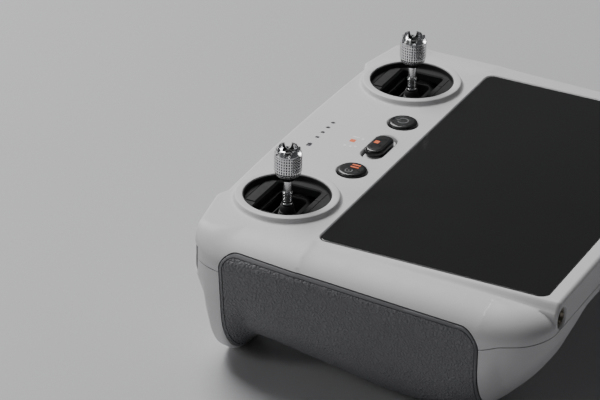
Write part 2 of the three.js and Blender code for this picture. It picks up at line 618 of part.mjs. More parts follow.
function dialBracket() {
  const half = DIAL.length / 2;
  const back = solid(box(-half - 1.8, half + 1.8, -6.2, -5, -5, 5));
  const ears = solid(box(half + 0.5, half + 1.8, -5.5, 1.8, -2, 2))
    .add(solid(box(-half - 1.8, -half - 0.5, -5.5, 1.8, -2, 2)));
  return geometryOf(back.add(ears).subtract(solid(rod('x', 1.3, -half - 3, half + 3, 12))));
}

function edgeControls() {
  for (const [name, x] of [['gimbal_dial', -DIAL.x], ['camera_dial', DIAL.x]]) {
    addPart(name, dialRoller(), SHELL).position.set(x, DIAL.y, DIAL.z);
    addPart(`${name}_bracket`, dialBracket(), BLACK).position.set(x, DIAL.y, DIAL.z);
  }
  const button = geometryOf(shoulderButton());
  addPart('record_button', button, BLACK);
  addPart('shutter_button', mirrored(button), BLACK);
}

function backControls() {
  const cap = turned([
    [0, 19.7], [CUSTOM_BUTTON.r - 0.7, 19.7], [CUSTOM_BUTTON.r, 20.3], [CUSTOM_BUTTON.r, 24.6],
    [5.2, 24.6], [5.2, 25.8], [0, 25.8],
  ], 16);
  addPart('left_custom_button', cap, BLACK).position.set(-CUSTOM_BUTTON.x, CUSTOM_BUTTON.y, 0);
  addPart('right_custom_button', cap, BLACK).position.set(CUSTOM_BUTTON.x, CUSTOM_BUTTON.y, 0);
  const [w, l, t] = [TRAY.width, TRAY.length, TRAY.wall];
  const floor = CENTRE_BACK_Z + WALL.bottom + GAP;
  const shellOfTray = solid(prism(roundedRect(w + 2 * t, l + 2 * t, 3.4), 'z', floor, floor + TRAY.depth, 4));
  const inside = solid(prism(roundedRect(w, l, 3), 'z', floor - 1, floor + TRAY.depth - t, 4));
  const tray = geometryOf(shellOfTray.subtract(inside)).translate(-TRAY.x, TRAY.y, 0);
  addPair('stick_tray', tray, RUBBER);
}

// ---------------------------------------------------------------- fasteners

function fasteners() {
  SCREWS.forEach(([x, y], i) => {
    const seat = backHeight(x, y) + 2;
    const screw = turned([
      [0, seat - 1.7], [1.7, seat - 1.7], [2.2, seat - 1.2], [2.2, seat - GAP], [0.9, seat - GAP],
      [0.9, seat + 7], [0, seat + 7],
    ], 12);
    addPart(`left_screw_${i + 1}`, screw, STEEL).position.set(-x, y, 0);
    addPart(`right_screw_${i + 1}`, screw, STEEL).position.set(x, y, 0);
  });
  const insert = solid(rod('y', STRAP.r, -61.3, -57.4, 16)).subtract(solid(rod('y', 1.7, -62, -58.2, 10)));
  addPair('strap_insert', geometryOf(insert).translate(-STRAP.x, 0, STRAP.z), BRASS);
}

// ---------------------------------------------------------------- build

addPart('front_shell', frontShell(), SHELL);
addPart('rear_shell', rearShell(), SHELL);
addPair('grip_cover', gripCover(), RUBBER);
screen();
electronics();
frontControls();
stickUnit('left', -STICK.x);
stickUnit('right', STICK.x);
edgeControls();
backControls();
fasteners();

export default assembly;
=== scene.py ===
"""Drone remote controller with a built-in screen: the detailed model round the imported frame.

Lengths are written in millimetres and turned into metres when a mesh is made. The frame is the
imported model's: +X right, +Y up the face towards the sticks, +Z out of the face, z = 0 under the grips.
"""
import json
import math

import bmesh
import bpy
import numpy as np
from mathutils import Matrix, Vector


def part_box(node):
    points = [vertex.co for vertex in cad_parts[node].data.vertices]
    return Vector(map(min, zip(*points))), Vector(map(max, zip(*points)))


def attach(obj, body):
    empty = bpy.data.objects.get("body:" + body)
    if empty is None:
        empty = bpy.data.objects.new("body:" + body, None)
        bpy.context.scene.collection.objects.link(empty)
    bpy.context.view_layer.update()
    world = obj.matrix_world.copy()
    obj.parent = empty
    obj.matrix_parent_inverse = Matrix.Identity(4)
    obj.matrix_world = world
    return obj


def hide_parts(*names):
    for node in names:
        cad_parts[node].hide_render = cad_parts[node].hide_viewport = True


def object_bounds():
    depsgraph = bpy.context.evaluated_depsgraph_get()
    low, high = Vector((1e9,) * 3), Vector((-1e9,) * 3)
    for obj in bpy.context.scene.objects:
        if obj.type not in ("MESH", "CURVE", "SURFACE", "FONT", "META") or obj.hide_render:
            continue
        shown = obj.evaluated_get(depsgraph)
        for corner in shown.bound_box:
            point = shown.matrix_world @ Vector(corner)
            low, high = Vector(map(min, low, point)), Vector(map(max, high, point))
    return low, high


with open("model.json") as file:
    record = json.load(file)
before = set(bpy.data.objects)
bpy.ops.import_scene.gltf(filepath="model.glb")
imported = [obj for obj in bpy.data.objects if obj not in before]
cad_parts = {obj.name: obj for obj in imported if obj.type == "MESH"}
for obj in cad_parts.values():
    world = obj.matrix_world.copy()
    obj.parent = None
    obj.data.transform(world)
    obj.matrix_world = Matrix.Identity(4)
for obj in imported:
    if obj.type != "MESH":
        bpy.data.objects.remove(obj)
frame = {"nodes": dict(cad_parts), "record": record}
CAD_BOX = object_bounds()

for start_object in [bpy.data.objects.get(name) for name in ("Cube", "Light", "Camera")]:
    if start_object:
        bpy.data.objects.remove(start_object)

MM = 0.001
SIDES = (("left", -1), ("right", 1))

# ------------ driving dimensions, from the frame


def box_mm(node):
    """The low corner, the high corner and the middle of a CAD node's box."""
    low, high = (np.array(corner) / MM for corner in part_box(node))
    return low, high, (low + high) / 2


GLASS_LOW, GLASS_HIGH, GLASS_CENTRE = box_mm("screen_glass")
GLASS_SIZE = GLASS_HIGH - GLASS_LOW
GLASS_RADIUS = 3.0
RIM_Z = box_mm("front_shell")[1][2]
FACE_Z = GLASS_HIGH[2] + 0.1
HALF_WIDTH = CAD_BOX[1][0] / MM
HALF_HEIGHT = -box_mm("front_shell")[0][1]
STICK_X, STICK_Y = box_mm("right_dust_plate")[2][:2]
JOINTS = {joint["name"]: joint for joint in frame["record"]["behaviour"]["joints"]}
PIVOT_Z = JOINTS["right_stick_pitch"]["pos_m"][2] / MM
WELL_RADIUS, RIM_RADIUS, BOSS_FOOT = 14.25, 16.9, 18.2
SHELL_WALL, FACE_WALL, SEAT_DEPTH, COVER_SKIN, TRAY_WALL = 3.8, 2.2, 2.4, 1.6, 1.2
UPPER_CORNER = (66.2, 43.5, 18.0)
LOWER_CORNER = (70.0, -41.55, 14.2, 20.3)
SIDE_ROUND = (16.0, 9.0)
UNDER_ROUND = (18.0, 20.0)
CENTRE_BACK_Z = 20.5
SHOULDER = dict(centre=61.2, crown=1.0, flare=50.0, peak=55.0, peak_y=61.9, end=74.0, end_y=58.4)
COVER_REAR, COVER_FRONT, COVER_TOP, COVER_INNER = 45.7, -42.1, 40.9, 58.0
REAR_CORNER, FRONT_CORNER, COVER_FALL = 5.0, 6.5, 0.0455
SEAM = 0.3
GRIP_PROFILE = [
    (-61.85, 30), (-58.75, 23.1), (-54.55, 16.9), (-50.15, 12), (-44.45, 6.7), (-37.5, 2), (-30, 0),
    (-18, 0), (15.5, 4.5), (36.5, 7.5), (46, 0), (49, 0), (51.2, 4.8), (53.4, 12.4), (56.7, 20.2),
    (59.5, 24.5), (61.85, 30),
]
PARTING_PROFILE = [(-61.85, 35), (-56, 34), (-49.5, 33.5), (-41.5, 31.2), (45, 34.5), (61.85, 34.5)]

# ------------ the outer form as formulas


def mix(a, b, t):
    return a + (b - a) * t


def smooth(t):
    t = np.clip(t, 0, 1)
    return t * t * (3 - 2 * t)


def quarter(distance, width, depth):
    """Depth of a quarter-ellipse edge at a distance from the edge."""
    t = np.clip((width - distance) / width, 0, 1)
    return depth * (1 - np.sqrt(np.maximum(0, 1 - t * t)))


def profile_at(points, position):
    """Smooth curve through (position, value) points with no overshoot."""
    px = np.array([p[0] for p in points], float)
    pv = np.array([p[1] for p in points], float)
    slope = np.diff(pv) / np.diff(px)
    tangent = np.empty_like(pv)
    tangent[0], tangent[-1] = slope[0], slope[-1]
    before, after = slope[:-1], slope[1:]
    joined = np.where(before + after == 0, 1, before + after)
    tangent[1:-1] = np.where(before * after <= 0, 0, 2 * before * after / joined)
    position = np.clip(position, px[0], px[-1])
    i = np.clip(np.searchsorted(px, position, side="right") - 1, 0, len(px) - 2)
    width = px[i + 1] - px[i]
    t = (position - px[i]) / width
    bend0 = t * (1 - t) ** 2 * width
    bend1 = -t * t * (1 - t) * width
    return mix(pv[i], pv[i + 1], t * t * (3 - 2 * t)) + bend0 * tangent[i] + bend1 * tangent[i + 1]


def upper_edge(x):
    a = np.abs(x)
    s = SHOULDER
    crown = s["centre"] - s["crown"] * (a / s["flare"]) ** 2
    flare = mix(s["centre"] - s["crown"], s["peak_y"], smooth((a - s["flare"]) / (s["peak"] - s["flare"])))
    fall = mix(s["peak_y"], s["end_y"], (a - s["peak"]) / (s["end"] - s["peak"]))
    cx, cy, r = UPPER_CORNER
    reach = np.clip((a - cx) / r, 0, 1)
    round_off = cy + r * np.sqrt(1 - reach * reach)
    fall = np.where(a > cx, np.minimum(fall, round_off), fall)
    return np.where(a < s["flare"], crown, np.where(a < s["peak"], flare, fall))


def lower_edge(x):
    cx, cy, rx, ry = LOWER_CORNER
    reach = np.clip((np.abs(x) - cx) / rx, 0, 1)
    return np.where(reach == 0, -HALF_HEIGHT, cy - ry * np.sqrt(1 - reach * reach))


def side_edge(y):
    cx, cy, r = UPPER_CORNER
    lx, ly, rx, ry = LOWER_CORNER
    up = np.clip((y - cy) / r, 0, 1)
    down = np.clip((ly - y) / ry, 0, 1)
    return np.where(y > cy, cx + r * np.sqrt(1 - up * up),
                    np.where(y < ly, lx + rx * np.sqrt(1 - down * down), HALF_WIDTH))


def wing_step(x, y):
    along = np.clip((GLASS_HIGH[1] - y) / 82, 0, 1.1)
    depth = 1.5 * along ** 0.55 + 1.6 * along ** 5
    return depth * smooth((np.abs(x) - 67.2) / 3.4)


def face_height(x, y):
    """Front face without the rings round the sticks."""
    a = np.abs(x)
    width, drop = SIDE_ROUND
    side = quarter(HALF_WIDTH - a, width, drop)
    cx, cy, r = UPPER_CORNER
    reach = np.hypot(a - cx, y - cy)
    turn = ((y - cy) / np.maximum(reach, 1e-6)) ** 2
    corner = quarter(r - reach, mix(width, 1.2, turn), mix(drop, 1.0, turn))
    side = np.where((a > cx) & (y > cy), corner, side)
    lx, ly, rx, ry = LOWER_CORNER
    u, v = (a - lx) / rx, (y - ly) / ry
    reach = np.hypot(u, v)
    turn = (v / np.maximum(reach, 1e-6)) ** 2
    corner = quarter((1 - reach) * 17, mix(width, 8, turn), mix(drop, 5, turn))
    side = np.where((a > lx) & (y < ly), corner, side)
    upper = quarter(upper_edge(x) - y, 1.2, 1.0)
    lower = np.where(a < lx, quarter(y + HALF_HEIGHT, 1.5, 1.5), 0)
    return FACE_Z - wing_step(x, y) - np.maximum(side, np.maximum(upper, lower))


def back_height(x, y):
    a = np.abs(x)
    grip = profile_at(GRIP_PROFILE, y)
    width, rise = UNDER_ROUND
    side = quarter(side_edge(y) - a, width, np.clip(31 - grip, 1.5, rise))
    centre = CENTRE_BACK_Z + 12.3 * smooth((-15 - y) / 46.85) + quarter(upper_edge(x) - y, 4, 4)
    return mix(centre, grip, smooth((a - 44) / 16)) + side


def slope_normal(height, x, y, up):
    """Unit normals of a height formula, pointing up or down."""
    step = 0.02
    dx = (height(x + step, y) - height(x - step, y)) / (2 * step)
    dy = (height(x, y + step) - height(x, y - step)) / (2 * step)
    n = np.stack([-dx, -dy, np.ones_like(dx)], axis=-1)
    n /= np.linalg.norm(n, axis=-1, keepdims=True)
    return n if up else -n


# ------------ mesh helpers


def new_object(name, mesh):
    obj = bpy.data.objects.new(name, mesh)
    bpy.context.scene.collection.objects.link(obj)
    return obj


def mesh_object(name, verts_mm, faces):
    mesh = bpy.data.meshes.new(name)
    mesh.from_pydata((np.asarray(verts_mm, float) * MM).tolist(), [], faces)
    mesh.validate()
    return new_object(name, mesh)


def grid_faces(rows, columns, first=0, wrap=False):
    """Quads of a grid stored column by column, each column `rows` points long."""
    faces = []
    last = columns if wrap else columns - 1
    for i in range(last):
        a = first + i * rows
        b = first + ((i + 1) % columns) * rows
        faces.extend((a + j, b + j, b + j + 1, a + j + 1) for j in range(rows - 1))
    return faces


def outward(obj):
    bm = bmesh.new()
    bm.from_mesh(obj.data)
    bmesh.ops.remove_doubles(bm, verts=bm.verts, dist=1e-8)
    bmesh.ops.recalc_face_normals(bm, faces=bm.faces)
    bm.to_mesh(obj.data)
    bm.free()
    return obj


def along_axis(axis, points):
    """Points built along Z, turned so that they run along another axis."""
    order = {"x": [2, 0, 1], "y": [1, 2, 0], "z": [0, 1, 2]}[axis]
    return np.array(points)[:, order]


def turned(name, profile, segments=64, at=(0, 0, 0), axis="z"):
    """A closed solid from a [radius, height] profile that starts and ends on the axis or closes."""
    points = np.array(profile, float)
    closes = points[0][0] > 1e-9 and np.allclose(points[0], points[-1])
    if closes:
        points = points[:-1]
    n = len(points)
    verts = []
    faces = []
    for k in range(segments):
        angle = 2 * math.pi * k / segments
        c, s = math.cos(angle), math.sin(angle)
        verts.extend((r * c, r * s, h) for r, h in points)
        a, b = k * n, ((k + 1) % segments) * n
        faces.extend((a + j, b + j, b + j + 1, a + j + 1) for j in range(n - 1))
        if closes:
            faces.append((a + n - 1, b + n - 1, b, a))
    return outward(mesh_object(name, along_axis(axis, verts) + np.array(at, float), faces))


def rolled(r, z, inward, down, start, end, count):
    """Profile points of a rounded edge that begins at the corner (r, z), between two angles in degrees."""
    angles = np.radians(np.linspace(start, end, count))
    return [[r - inward * (1 - math.sin(a)), z - down * (1 - math.cos(a))] for a in angles]


def cylinder(name, radius, low, high, segments, at=(0, 0, 0), axis="z"):
    return turned(name, [[0, low], [radius, low], [radius, high], [0, high]], segments, at, axis)


def round_bar(name, radius, low, high, segments, axis, e=0.15):
    """A cylinder along some axis with chamfers of size `e` at both ends."""
    half = [[0, low], [radius - e, low], [radius, low + e]]
    return turned(name, half + [[radius, high - e], [radius - e, high], [0, high]], segments, axis=axis)


def arc(radius, start, end, count):
    """Points of an arc round the origin, from one angle in degrees to another."""
    angles = np.radians(np.linspace(start, end, count))
    return np.stack([radius * np.cos(angles), radius * np.sin(angles)], axis=1)


def arc_band(outer, inner, start, end, count):
    """Outline of a curved band between two radii."""
    return np.concatenate([arc(outer, start, end, count), arc(inner, start, end, count)[::-1]])


def circle(radius, count):
    angles = np.linspace(0, 2 * math.pi, count, endpoint=False)
    return np.stack([radius * np.cos(angles), radius * np.sin(angles)], axis=1)


def rounded_outline(width, height, radius, steps=8):
    """Points of a rounded rectangle round the origin, anticlockwise."""
    inner = np.array([width / 2 - radius, height / 2 - radius])
    corners = (((1, -1), -90), ((1, 1), 0), ((-1, 1), 90), ((-1, -1), 180))
    return np.concatenate([arc(radius, start, start + 90, steps + 1) + inner * signs
                           for signs, start in corners])


def stacked(name, loops, axis="z", at=(0, 0, 0)):
    """A closed solid through a pile of (outline, level) pairs with the same number of points."""
    n, last = len(loops[0][0]), len(loops) - 1
    verts = [(p[0], p[1], level) for ring, level in loops for p in ring]
    faces = []
    for k in range(last):
        for j in range(n):
            a, b = k * n + j, k * n + (j + 1) % n
            faces.append((a, b, b + n, a + n))
    faces += [tuple(range(n))[::-1], tuple(last * n + j for j in range(n))]
    return outward(mesh_object(name, along_axis(axis, verts) + np.array(at, float), faces))


def pushed(name, outline, low, high, axis="z", edge=0.0, at=(0, 0, 0), rings=0):
    """An outline pushed along an axis, with rounded edges of radius `edge` at both ends.

    `rings` splits the two end faces into nested rings, where a hole will be cut in them.
    """
    outline = np.asarray(outline, float)
    levels = [(low, 0.0), (high, 0.0)]
    if edge:
        angles = np.radians([0, 22.5, 45, 67.5, 90])
        foot = [(low + edge * (1 - math.sin(a)), edge * (1 - math.cos(a))) for a in angles[::-1]]
        head = [(high - edge * (1 - math.sin(a)), edge * (1 - math.cos(a))) for a in angles]
        levels = foot + head
    tangent = np.roll(outline, -1, axis=0) - np.roll(outline, 1, axis=0)
    normal = np.stack([tangent[:, 1], -tangent[:, 0]], axis=1)
    normal /= np.maximum(np.linalg.norm(normal, axis=1, keepdims=True), 1e-9)
    loops = [(outline - normal * inset, level) for level, inset in levels]
    if rings:
        shrink = [k / (rings + 1) for k in range(1, rings + 1)]
        bottom, top = loops[0][0], loops[-1][0]
        loops = [(bottom * s, low) for s in shrink] + loops + [(top * s, high) for s in shrink[::-1]]
    return stacked(name, loops, axis, at)


def block(name, low, high, edge=0.0):
    size = np.array(high, float) - np.array(low, float)
    centre = (np.array(high, float) + np.array(low, float)) / 2
    outline = rounded_outline(size[0], size[1], max(edge, 0.02), 3)
    return pushed(name, outline, low[2], high[2], edge=edge, at=(centre[0], centre[1], 0))


def triangulate(obj):
    """Triangles instead of larger faces, so that a cut leaves no face with a hole in it."""
    bm = bmesh.new()
    bm.from_mesh(obj.data)
    bmesh.ops.triangulate(bm, faces=[f for f in bm.faces if len(f.verts) > 3])
    bm.to_mesh(obj.data)
    bm.free()


def boolean(obj, tool, operation="DIFFERENCE"):
    triangulate(obj)
    triangulate(tool)
    modifier = obj.modifiers.new("cut", "BOOLEAN")
    modifier.operation = operation
    modifier.solver = "MANIFOLD"
    modifier.object = tool
    bake(obj)
    bpy.data.objects.remove(tool)
    return obj


def bake(obj):
    """Applies all modifiers of an object."""
    bpy.context.view_layer.update()
    depsgraph = bpy.context.evaluated_depsgraph_get()
    made = bpy.data.meshes.new_from_object(obj.evaluated_get(depsgraph), depsgraph=depsgraph)
    obj.modifiers.clear()
    old = obj.data
    obj.data = made
    bpy.data.meshes.remove(old)
    return obj


def join(name, objects):
    """One object from several, which are removed."""
    bm = bmesh.new()
    for obj in objects:
        part = obj.data.copy()
        part.transform(obj.matrix_world)
        bm.from_mesh(part)
        bpy.data.meshes.remove(part)
        bpy.data.objects.remove(obj)
    mesh = bpy.data.meshes.new(name)
    bm.to_mesh(mesh)
    bm.free()
    return new_object(name, mesh)


def move(obj, offset):
    obj.data.transform(Matrix.Translation(Vector(offset) * MM))
    return obj


def mirror_copy(obj, name):
    mesh = obj.data.copy()
    mesh.transform(Matrix.Diagonal((-1, 1, 1, 1)))
    mesh.flip_normals()
    return new_object(name, mesh)


def shade(obj, angle=32):
    """Smooth shading that keeps edges sharper than `angle` degrees."""
    mesh = obj.data
    mesh.polygons.foreach_set("use_smooth", np.ones(len(mesh.polygons), bool))
    mesh.set_sharp_from_angle(angle=math.radians(angle))
    return obj


def place(obj, body, material, slot, *replaced):
    """Gives a piece its material and lets it ride on its body in place of CAD nodes; the slot argument is not
    used.
    """
    obj.data.materials.clear()
    obj.data.materials.append(material)
    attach(obj, body)
    if replaced:
        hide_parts(*replaced)
    return obj


def finished(obj, node, body, material, slot, at=(0, 0, 0), angle=32):
    """Moves a piece to its place, names it after the CAD node that it replaces, and places it."""
    move(obj, at)
    obj.name = f"{node}_detail"
    return place(shade(obj, angle), body, material, slot, node)


def loop_data(mesh):
    """The normal of each face corner, and its place in millimetres."""
    normals = np.empty(len(mesh.loops) * 3)
    mesh.corner_normals.foreach_get("vector", normals)
    vertex = np.empty(len(mesh.loops), int)
    mesh.loops.foreach_get("vertex_index", vertex)
    places = np.empty(len(mesh.vertices) * 3)
    mesh.vertices.foreach_get("co", places)
    return normals.reshape(-1, 3), places.reshape(-1, 3)[vertex] / MM


def form_normals(obj):
    """Exact normals from the formulas on the outer form, smooth-by-angle normals elsewhere."""
    shade(obj)
    mesh = obj.data
    corner, points = loop_data(mesh)
    sizes = np.empty(len(mesh.polygons), int)
    mesh.polygons.foreach_get("loop_total", sizes)
    flat = np.empty(len(mesh.polygons) * 3)
    mesh.polygons.foreach_get("normal", flat)
    flat = np.repeat(flat.reshape(-1, 3), sizes, axis=0)
    x, y, z = points.T
    for height, up in ((face_height, True), (back_height, False)):
        near = np.abs(height(x, y) - z) < 0.08
        exact = slope_normal(height, x, y, up)
        agrees = (exact * flat).sum(axis=1) > 0.8
        use = near & agrees & (np.abs(flat[:, 2]) > 0.2)
        corner[use] = exact[use]
    mesh.normals_split_custom_set(corner.tolist())
    return obj


# ------------ materials


class Look:
    """A Principled material whose colour, roughness and bump come from small node chains."""

    def __init__(self, name, color, roughness, metallic=0.0, **sockets):
        self.material = bpy.data.materials.new(name)
        self.material.use_nodes = True
        self.nodes = self.material.node_tree.nodes
        self.links = self.material.node_tree.links
        self.shader = self.nodes["Principled BSDF"]
        self.shader.inputs["Metallic"].default_value = metallic
        for socket, value in sockets.items():
            self.shader.inputs[socket.replace("_", " ")].default_value = value
        self.color = color
        self.roughness = roughness
        self.coordinate = self.nodes.new("ShaderNodeTexCoord").outputs["Object"]
        self.height = None

    def node(self, kind, **values):
        made = self.nodes.new(kind)
        for key, value in values.items():
            if hasattr(made, key):
                setattr(made, key, value)
            else:
                made.inputs[key.replace("_", " ")].default_value = value
        return made

    def noise(self, scale, detail=3, stretch=None):
        made = self.node("ShaderNodeTexNoise", Scale=scale, Detail=detail)
        source = self.coordinate
        if stretch:
            mapping = self.node("ShaderNodeMapping")
            mapping.inputs["Scale"].default_value = stretch
            self.links.new(source, mapping.inputs["Vector"])
            source = mapping.outputs["Vector"]
        self.links.new(source, made.inputs["Vector"])
        return made.outputs["Fac"]

    def spread(self, value, low, high, start=0.3, end=0.7):
        made = self.node("ShaderNodeMapRange")
        for socket, number in (("From Min", start), ("From Max", end), ("To Min", low), ("To Max", high)):
            made.inputs[socket].default_value = number
        self.links.new(value, made.inputs["Value"])
        return made.outputs["Result"]

    def tinted(self, pattern, amount):
        """The base colour, lighter and darker by a share with a pattern."""
        ramp = self.node("ShaderNodeValToRGB")
        ramp.color_ramp.elements[0].position = 0.3
        ramp.color_ramp.elements[1].position = 0.7
        for element, share in zip(ramp.color_ramp.elements, (1 - amount, 1 + amount)):
            element.color = [min(1, c * share) for c in self.color] + [1]
        self.links.new(pattern, ramp.inputs["Fac"])
        self.links.new(ramp.outputs["Color"], self.shader.inputs["Base Color"])
        return self

    def rough(self, pattern, amount):
        low, high = self.roughness - amount, self.roughness + amount
        self.links.new(self.spread(pattern, low, high), self.shader.inputs["Roughness"])
        return self

    def bump(self, pattern, depth_mm, strength=1.0):
        """A bump of a given depth, on top of the bumps added before it."""
        made = self.node("ShaderNodeBump", Strength=strength, Distance=depth_mm * MM)
        self.links.new(pattern, made.inputs["Height"])
        if self.height is not None:
            self.links.new(self.height, made.inputs["Normal"])
        self.height = made.outputs["Normal"]
        self.links.new(self.height, self.shader.inputs["Normal"])
        return self


def slot_color(slot):
    record = next(m for m in frame["record"]["materials"] if m["slot"] == slot)
    return record["base_color"]


def plastic(name, color, roughness, tint=0.03, grain=2600, depth=0.012, **sockets):
    """Moulded plastic: faint tone drift, fine spark-eroded texture."""
    look = Look(name, color, roughness, **sockets)
    look.tinted(look.noise(55), tint).rough(look.noise(420), 0.04)
    return look.bump(look.noise(grain, 2), depth).material


def metal(name, color, roughness, scratch=0.004, stretch=(300, 300, 40), **sockets):
    """Turned or rolled metal: fine directional marks and a little roughness drift."""
    look = Look(name, color, roughness, 1.0, **sockets)
    marks = look.noise(60, 4, stretch)
    return look.tinted(look.noise(160), 0.05).rough(marks, 0.05).bump(marks, scratch).material


def shell_look():
    look = Look("shell_plastic", slot_color("shell"), 0.5, Specular_IOR_Level=0.42)
    look.tinted(look.noise(26, 4), 0.018).rough(look.noise(300), 0.035)
    return look.bump(look.noise(5200, 2), 0.006).bump(look.noise(700, 2), 0.0035).material


RUBBER_COLOR = [c * 2.1 for c in slot_color("grip_rubber")[:3]]


def grip_look():
    """Rubber with a soft leather-like pebble: cells with rounded tops between narrow valleys."""
    look = Look("pebbled_rubber", RUBBER_COLOR, 0.6, Specular_IOR_Level=0.5)
    warp = look.node("ShaderNodeVectorMath", operation="ADD")
    scatter = look.node("ShaderNodeTexNoise", Scale=900, Detail=1)
    look.links.new(look.coordinate, scatter.inputs["Vector"])
    shift = look.node("ShaderNodeVectorMath", operation="SCALE")
    look.links.new(scatter.outputs["Color"], shift.inputs[0])
    shift.inputs["Scale"].default_value = 0.0009
    look.links.new(look.coordinate, warp.inputs[0])
    look.links.new(shift.outputs["Vector"], warp.inputs[1])
    cells = look.node("ShaderNodeTexVoronoi", Scale=880, feature="DISTANCE_TO_EDGE")
    look.links.new(warp.outputs["Vector"], cells.inputs["Vector"])
    tops = look.spread(cells.outputs["Distance"], 0, 1, 0.0, 0.32)
    look.tinted(look.noise(45, 4), 0.05).rough(look.noise(1500), 0.08)
    return look.bump(tops, 0.24, 0.85).bump(look.noise(2600, 3), 0.06, 0.6).material


def smooth_rubber_look():
    look = Look("smooth_rubber", RUBBER_COLOR, 0.5)
    look.tinted(look.noise(80), 0.04).rough(look.noise(700), 0.05)
    return look.bump(look.noise(3600, 2), 0.01).material


def glass_look():
    look = Look("cover_glass", (0.022, 0.022, 0.0225), 0.07, Specular_IOR_Level=0.5)
    look.tinted(look.noise(12), 0.06).rough(look.noise(90, 5), 0.015)
    return look.bump(look.noise(25), 0.002).material


def lens_look():
    look = Look("smoked_lens", slot_color("light_lens"), 0.25)
    look.tinted(look.noise(900), 0.1).rough(look.noise(1500), 0.06)
    return look.bump(look.noise(1200), 0.01).material


def board_look():
    """Solder mask over faint copper tracks."""
    look = Look("board_mask", slot_color("circuit_board"), 0.36)
    tracks = look.node("ShaderNodeTexBrick", Scale=420)
    look.links.new(look.coordinate, tracks.inputs["Vector"])
    look.tinted(tracks.outputs["Fac"], 0.25).rough(look.noise(500), 0.06)
    return look.bump(tracks.outputs["Fac"], 0.03).material


SHELL = shell_look()
PEBBLE = grip_look()
RUBBER = smooth_rubber_look()
BLACK = plastic("black_plastic", (0.03, 0.03, 0.031), 0.42, 0.12, 1500, 0.004, Specular_IOR_Level=0.5)
GLOSS = plastic("gloss_black", slot_color("gloss_black"), 0.3, 0.1, 900, 0.0012)
GLASS = glass_look()
STEEL = metal("polished_steel", slot_color("polished_steel"), 0.2)
# Painted shade for the stick knobs: a darker, rougher steel laid on the pits, the crown and the cone
SHADE_PAINTED_STEEL = metal("painted_shade_steel", (0.05, 0.05, 0.051), 0.42)
WELL_BLACK = plastic("well_black", (0.055, 0.055, 0.056), 0.5, 0.1, 1500, 0.004)
PLATE_BLACK = plastic("plate_black", (0.018, 0.018, 0.0185), 0.6, 0.12, 1500, 0.004, Specular_IOR_Level=0.2)
SCREW_STEEL = metal("screw_steel", slot_color("screw_steel"), 0.34)
INSERT_METAL = metal("insert_metal", (0.2, 0.175, 0.14), 0.3)
ALUMINIUM = metal("aluminium_sheet", slot_color("aluminium"), 0.4, 0.01, (30, 260, 30))
BOARD = board_look()
WRAP = plastic("cell_wrap", slot_color("cell_wrap"), 0.3, 0.1, 700, 0.01)
LENS = lens_look()
FLEX = plastic("flex_film", slot_color("flex_film"), 0.35, 0.1, 900, 0.01)
ORANGE = plastic("orange_mark", (0.83, 0.155, 0.035), 0.5, 0.05)
PALE_MARK = plastic("pale_mark", (0.16, 0.16, 0.165), 0.5, 0.05)
WHITE_MARK = plastic("white_mark", (0.93, 0.93, 0.94), 0.45, 0.02)
# Painted shade: a near-black sheet on the mode slot's floor that stands for the shade in the gap round the tray
GAP_SHADE_GREY = plastic("painted_gap_shade", (0.035, 0.035, 0.037), 0.5, 0.1)

# ------------ shells and grip covers


def edge_steps(width, count):
    """Distances from an edge, closer together towards it."""
    return width * (1 - np.sin(np.linspace(0, math.pi / 2, count)))


def spaced(values, least):
    kept = []
    for value in sorted(values):
        if not kept or value - kept[-1] > least:
            kept.append(value)
    kept[-1] = max(values)
    return kept


def form_lines(fine):
    """Distances of the grid lines: across from the middle, and along from the bottom edge."""
    n = 3 if fine else 1
    across = [*np.linspace(0, 44, 8 * n), *np.linspace(44, 66, 9 * n), *(HALF_WIDTH - edge_steps(18, 13 * n))]
    top = 2 * HALF_HEIGHT
    along = [*edge_steps(1.5, 3 * n), *np.linspace(1.5, 34, 18 * n), *np.linspace(34, 96, 14 * n)]
    along += [*np.linspace(96, top - 4, 12 * n), *(top - edge_steps(4, 5 * n))]
    along += [*(top - edge_steps(1.2, 3 * n))]
    return spaced(across, 0.05), spaced(along, 0.05)


EDGE_BAND = 14


def pulled_in(distance, wall):
    return np.maximum(distance, wall + distance * (1 - wall / EDGE_BAND))


def form_body(name, fine=True, side=0.0, top=0.0, bottom=0.0):
    """The outer form as a closed body, shrunk at the sides, the face and the back."""
    across, along = form_lines(fine)
    columns = np.array([-x for x in reversed(across[1:])] + list(across))
    nx, ny = len(columns), len(along)
    x = np.repeat(columns, ny)
    share = np.tile(np.array(along) / (2 * HALF_HEIGHT), nx)
    low, high = lower_edge(x), upper_edge(x)
    y = mix(low, high, share)
    inner_x = np.sign(x) * (HALF_WIDTH - pulled_in(HALF_WIDTH - np.abs(x), side))
    inner_y = y + (pulled_in(y - low, side) - (y - low)) - (pulled_in(high - y, side) - (high - y))
    face = np.stack([inner_x, inner_y, face_height(x, y) - top], axis=1)
    back = np.stack([inner_x, inner_y, back_height(x, y) + bottom], axis=1)
    verts = np.concatenate([face, back])
    count = nx * ny
    at = np.arange(count).reshape(nx, ny)
    a, b, c, d = at[:-1, :-1].ravel(), at[1:, :-1].ravel(), at[1:, 1:].ravel(), at[:-1, 1:].ravel()
    faces = [*zip(a, b, c, d), *zip(d + count, c + count, b + count, a + count)]
    rim = [*at[:, 0], *at[-1, 1:], *at[-2::-1, -1], *at[0, -2:0:-1]]
    for k, p in enumerate(rim):
        q = rim[(k + 1) % len(rim)]
        faces.append((p, p + count, q + count, q))
    return mesh_object(name, verts, [tuple(int(i) for i in f) for f in faces])


def parting_block(above, offset):
    """Everything above the joint line between the two shells, or below it."""
    y = np.linspace(-HALF_HEIGHT, HALF_HEIGHT, 90)
    line = np.stack([y, profile_at(PARTING_PROFILE, y) + offset], axis=1)
    far = 70.0 if above else -10.0
    ends = [(66, line[-1][1]), (66, far), (-66, far), (-66, line[0][1])]
    return pushed("parting", np.concatenate([line, ends]), -100, 100, axis="x")


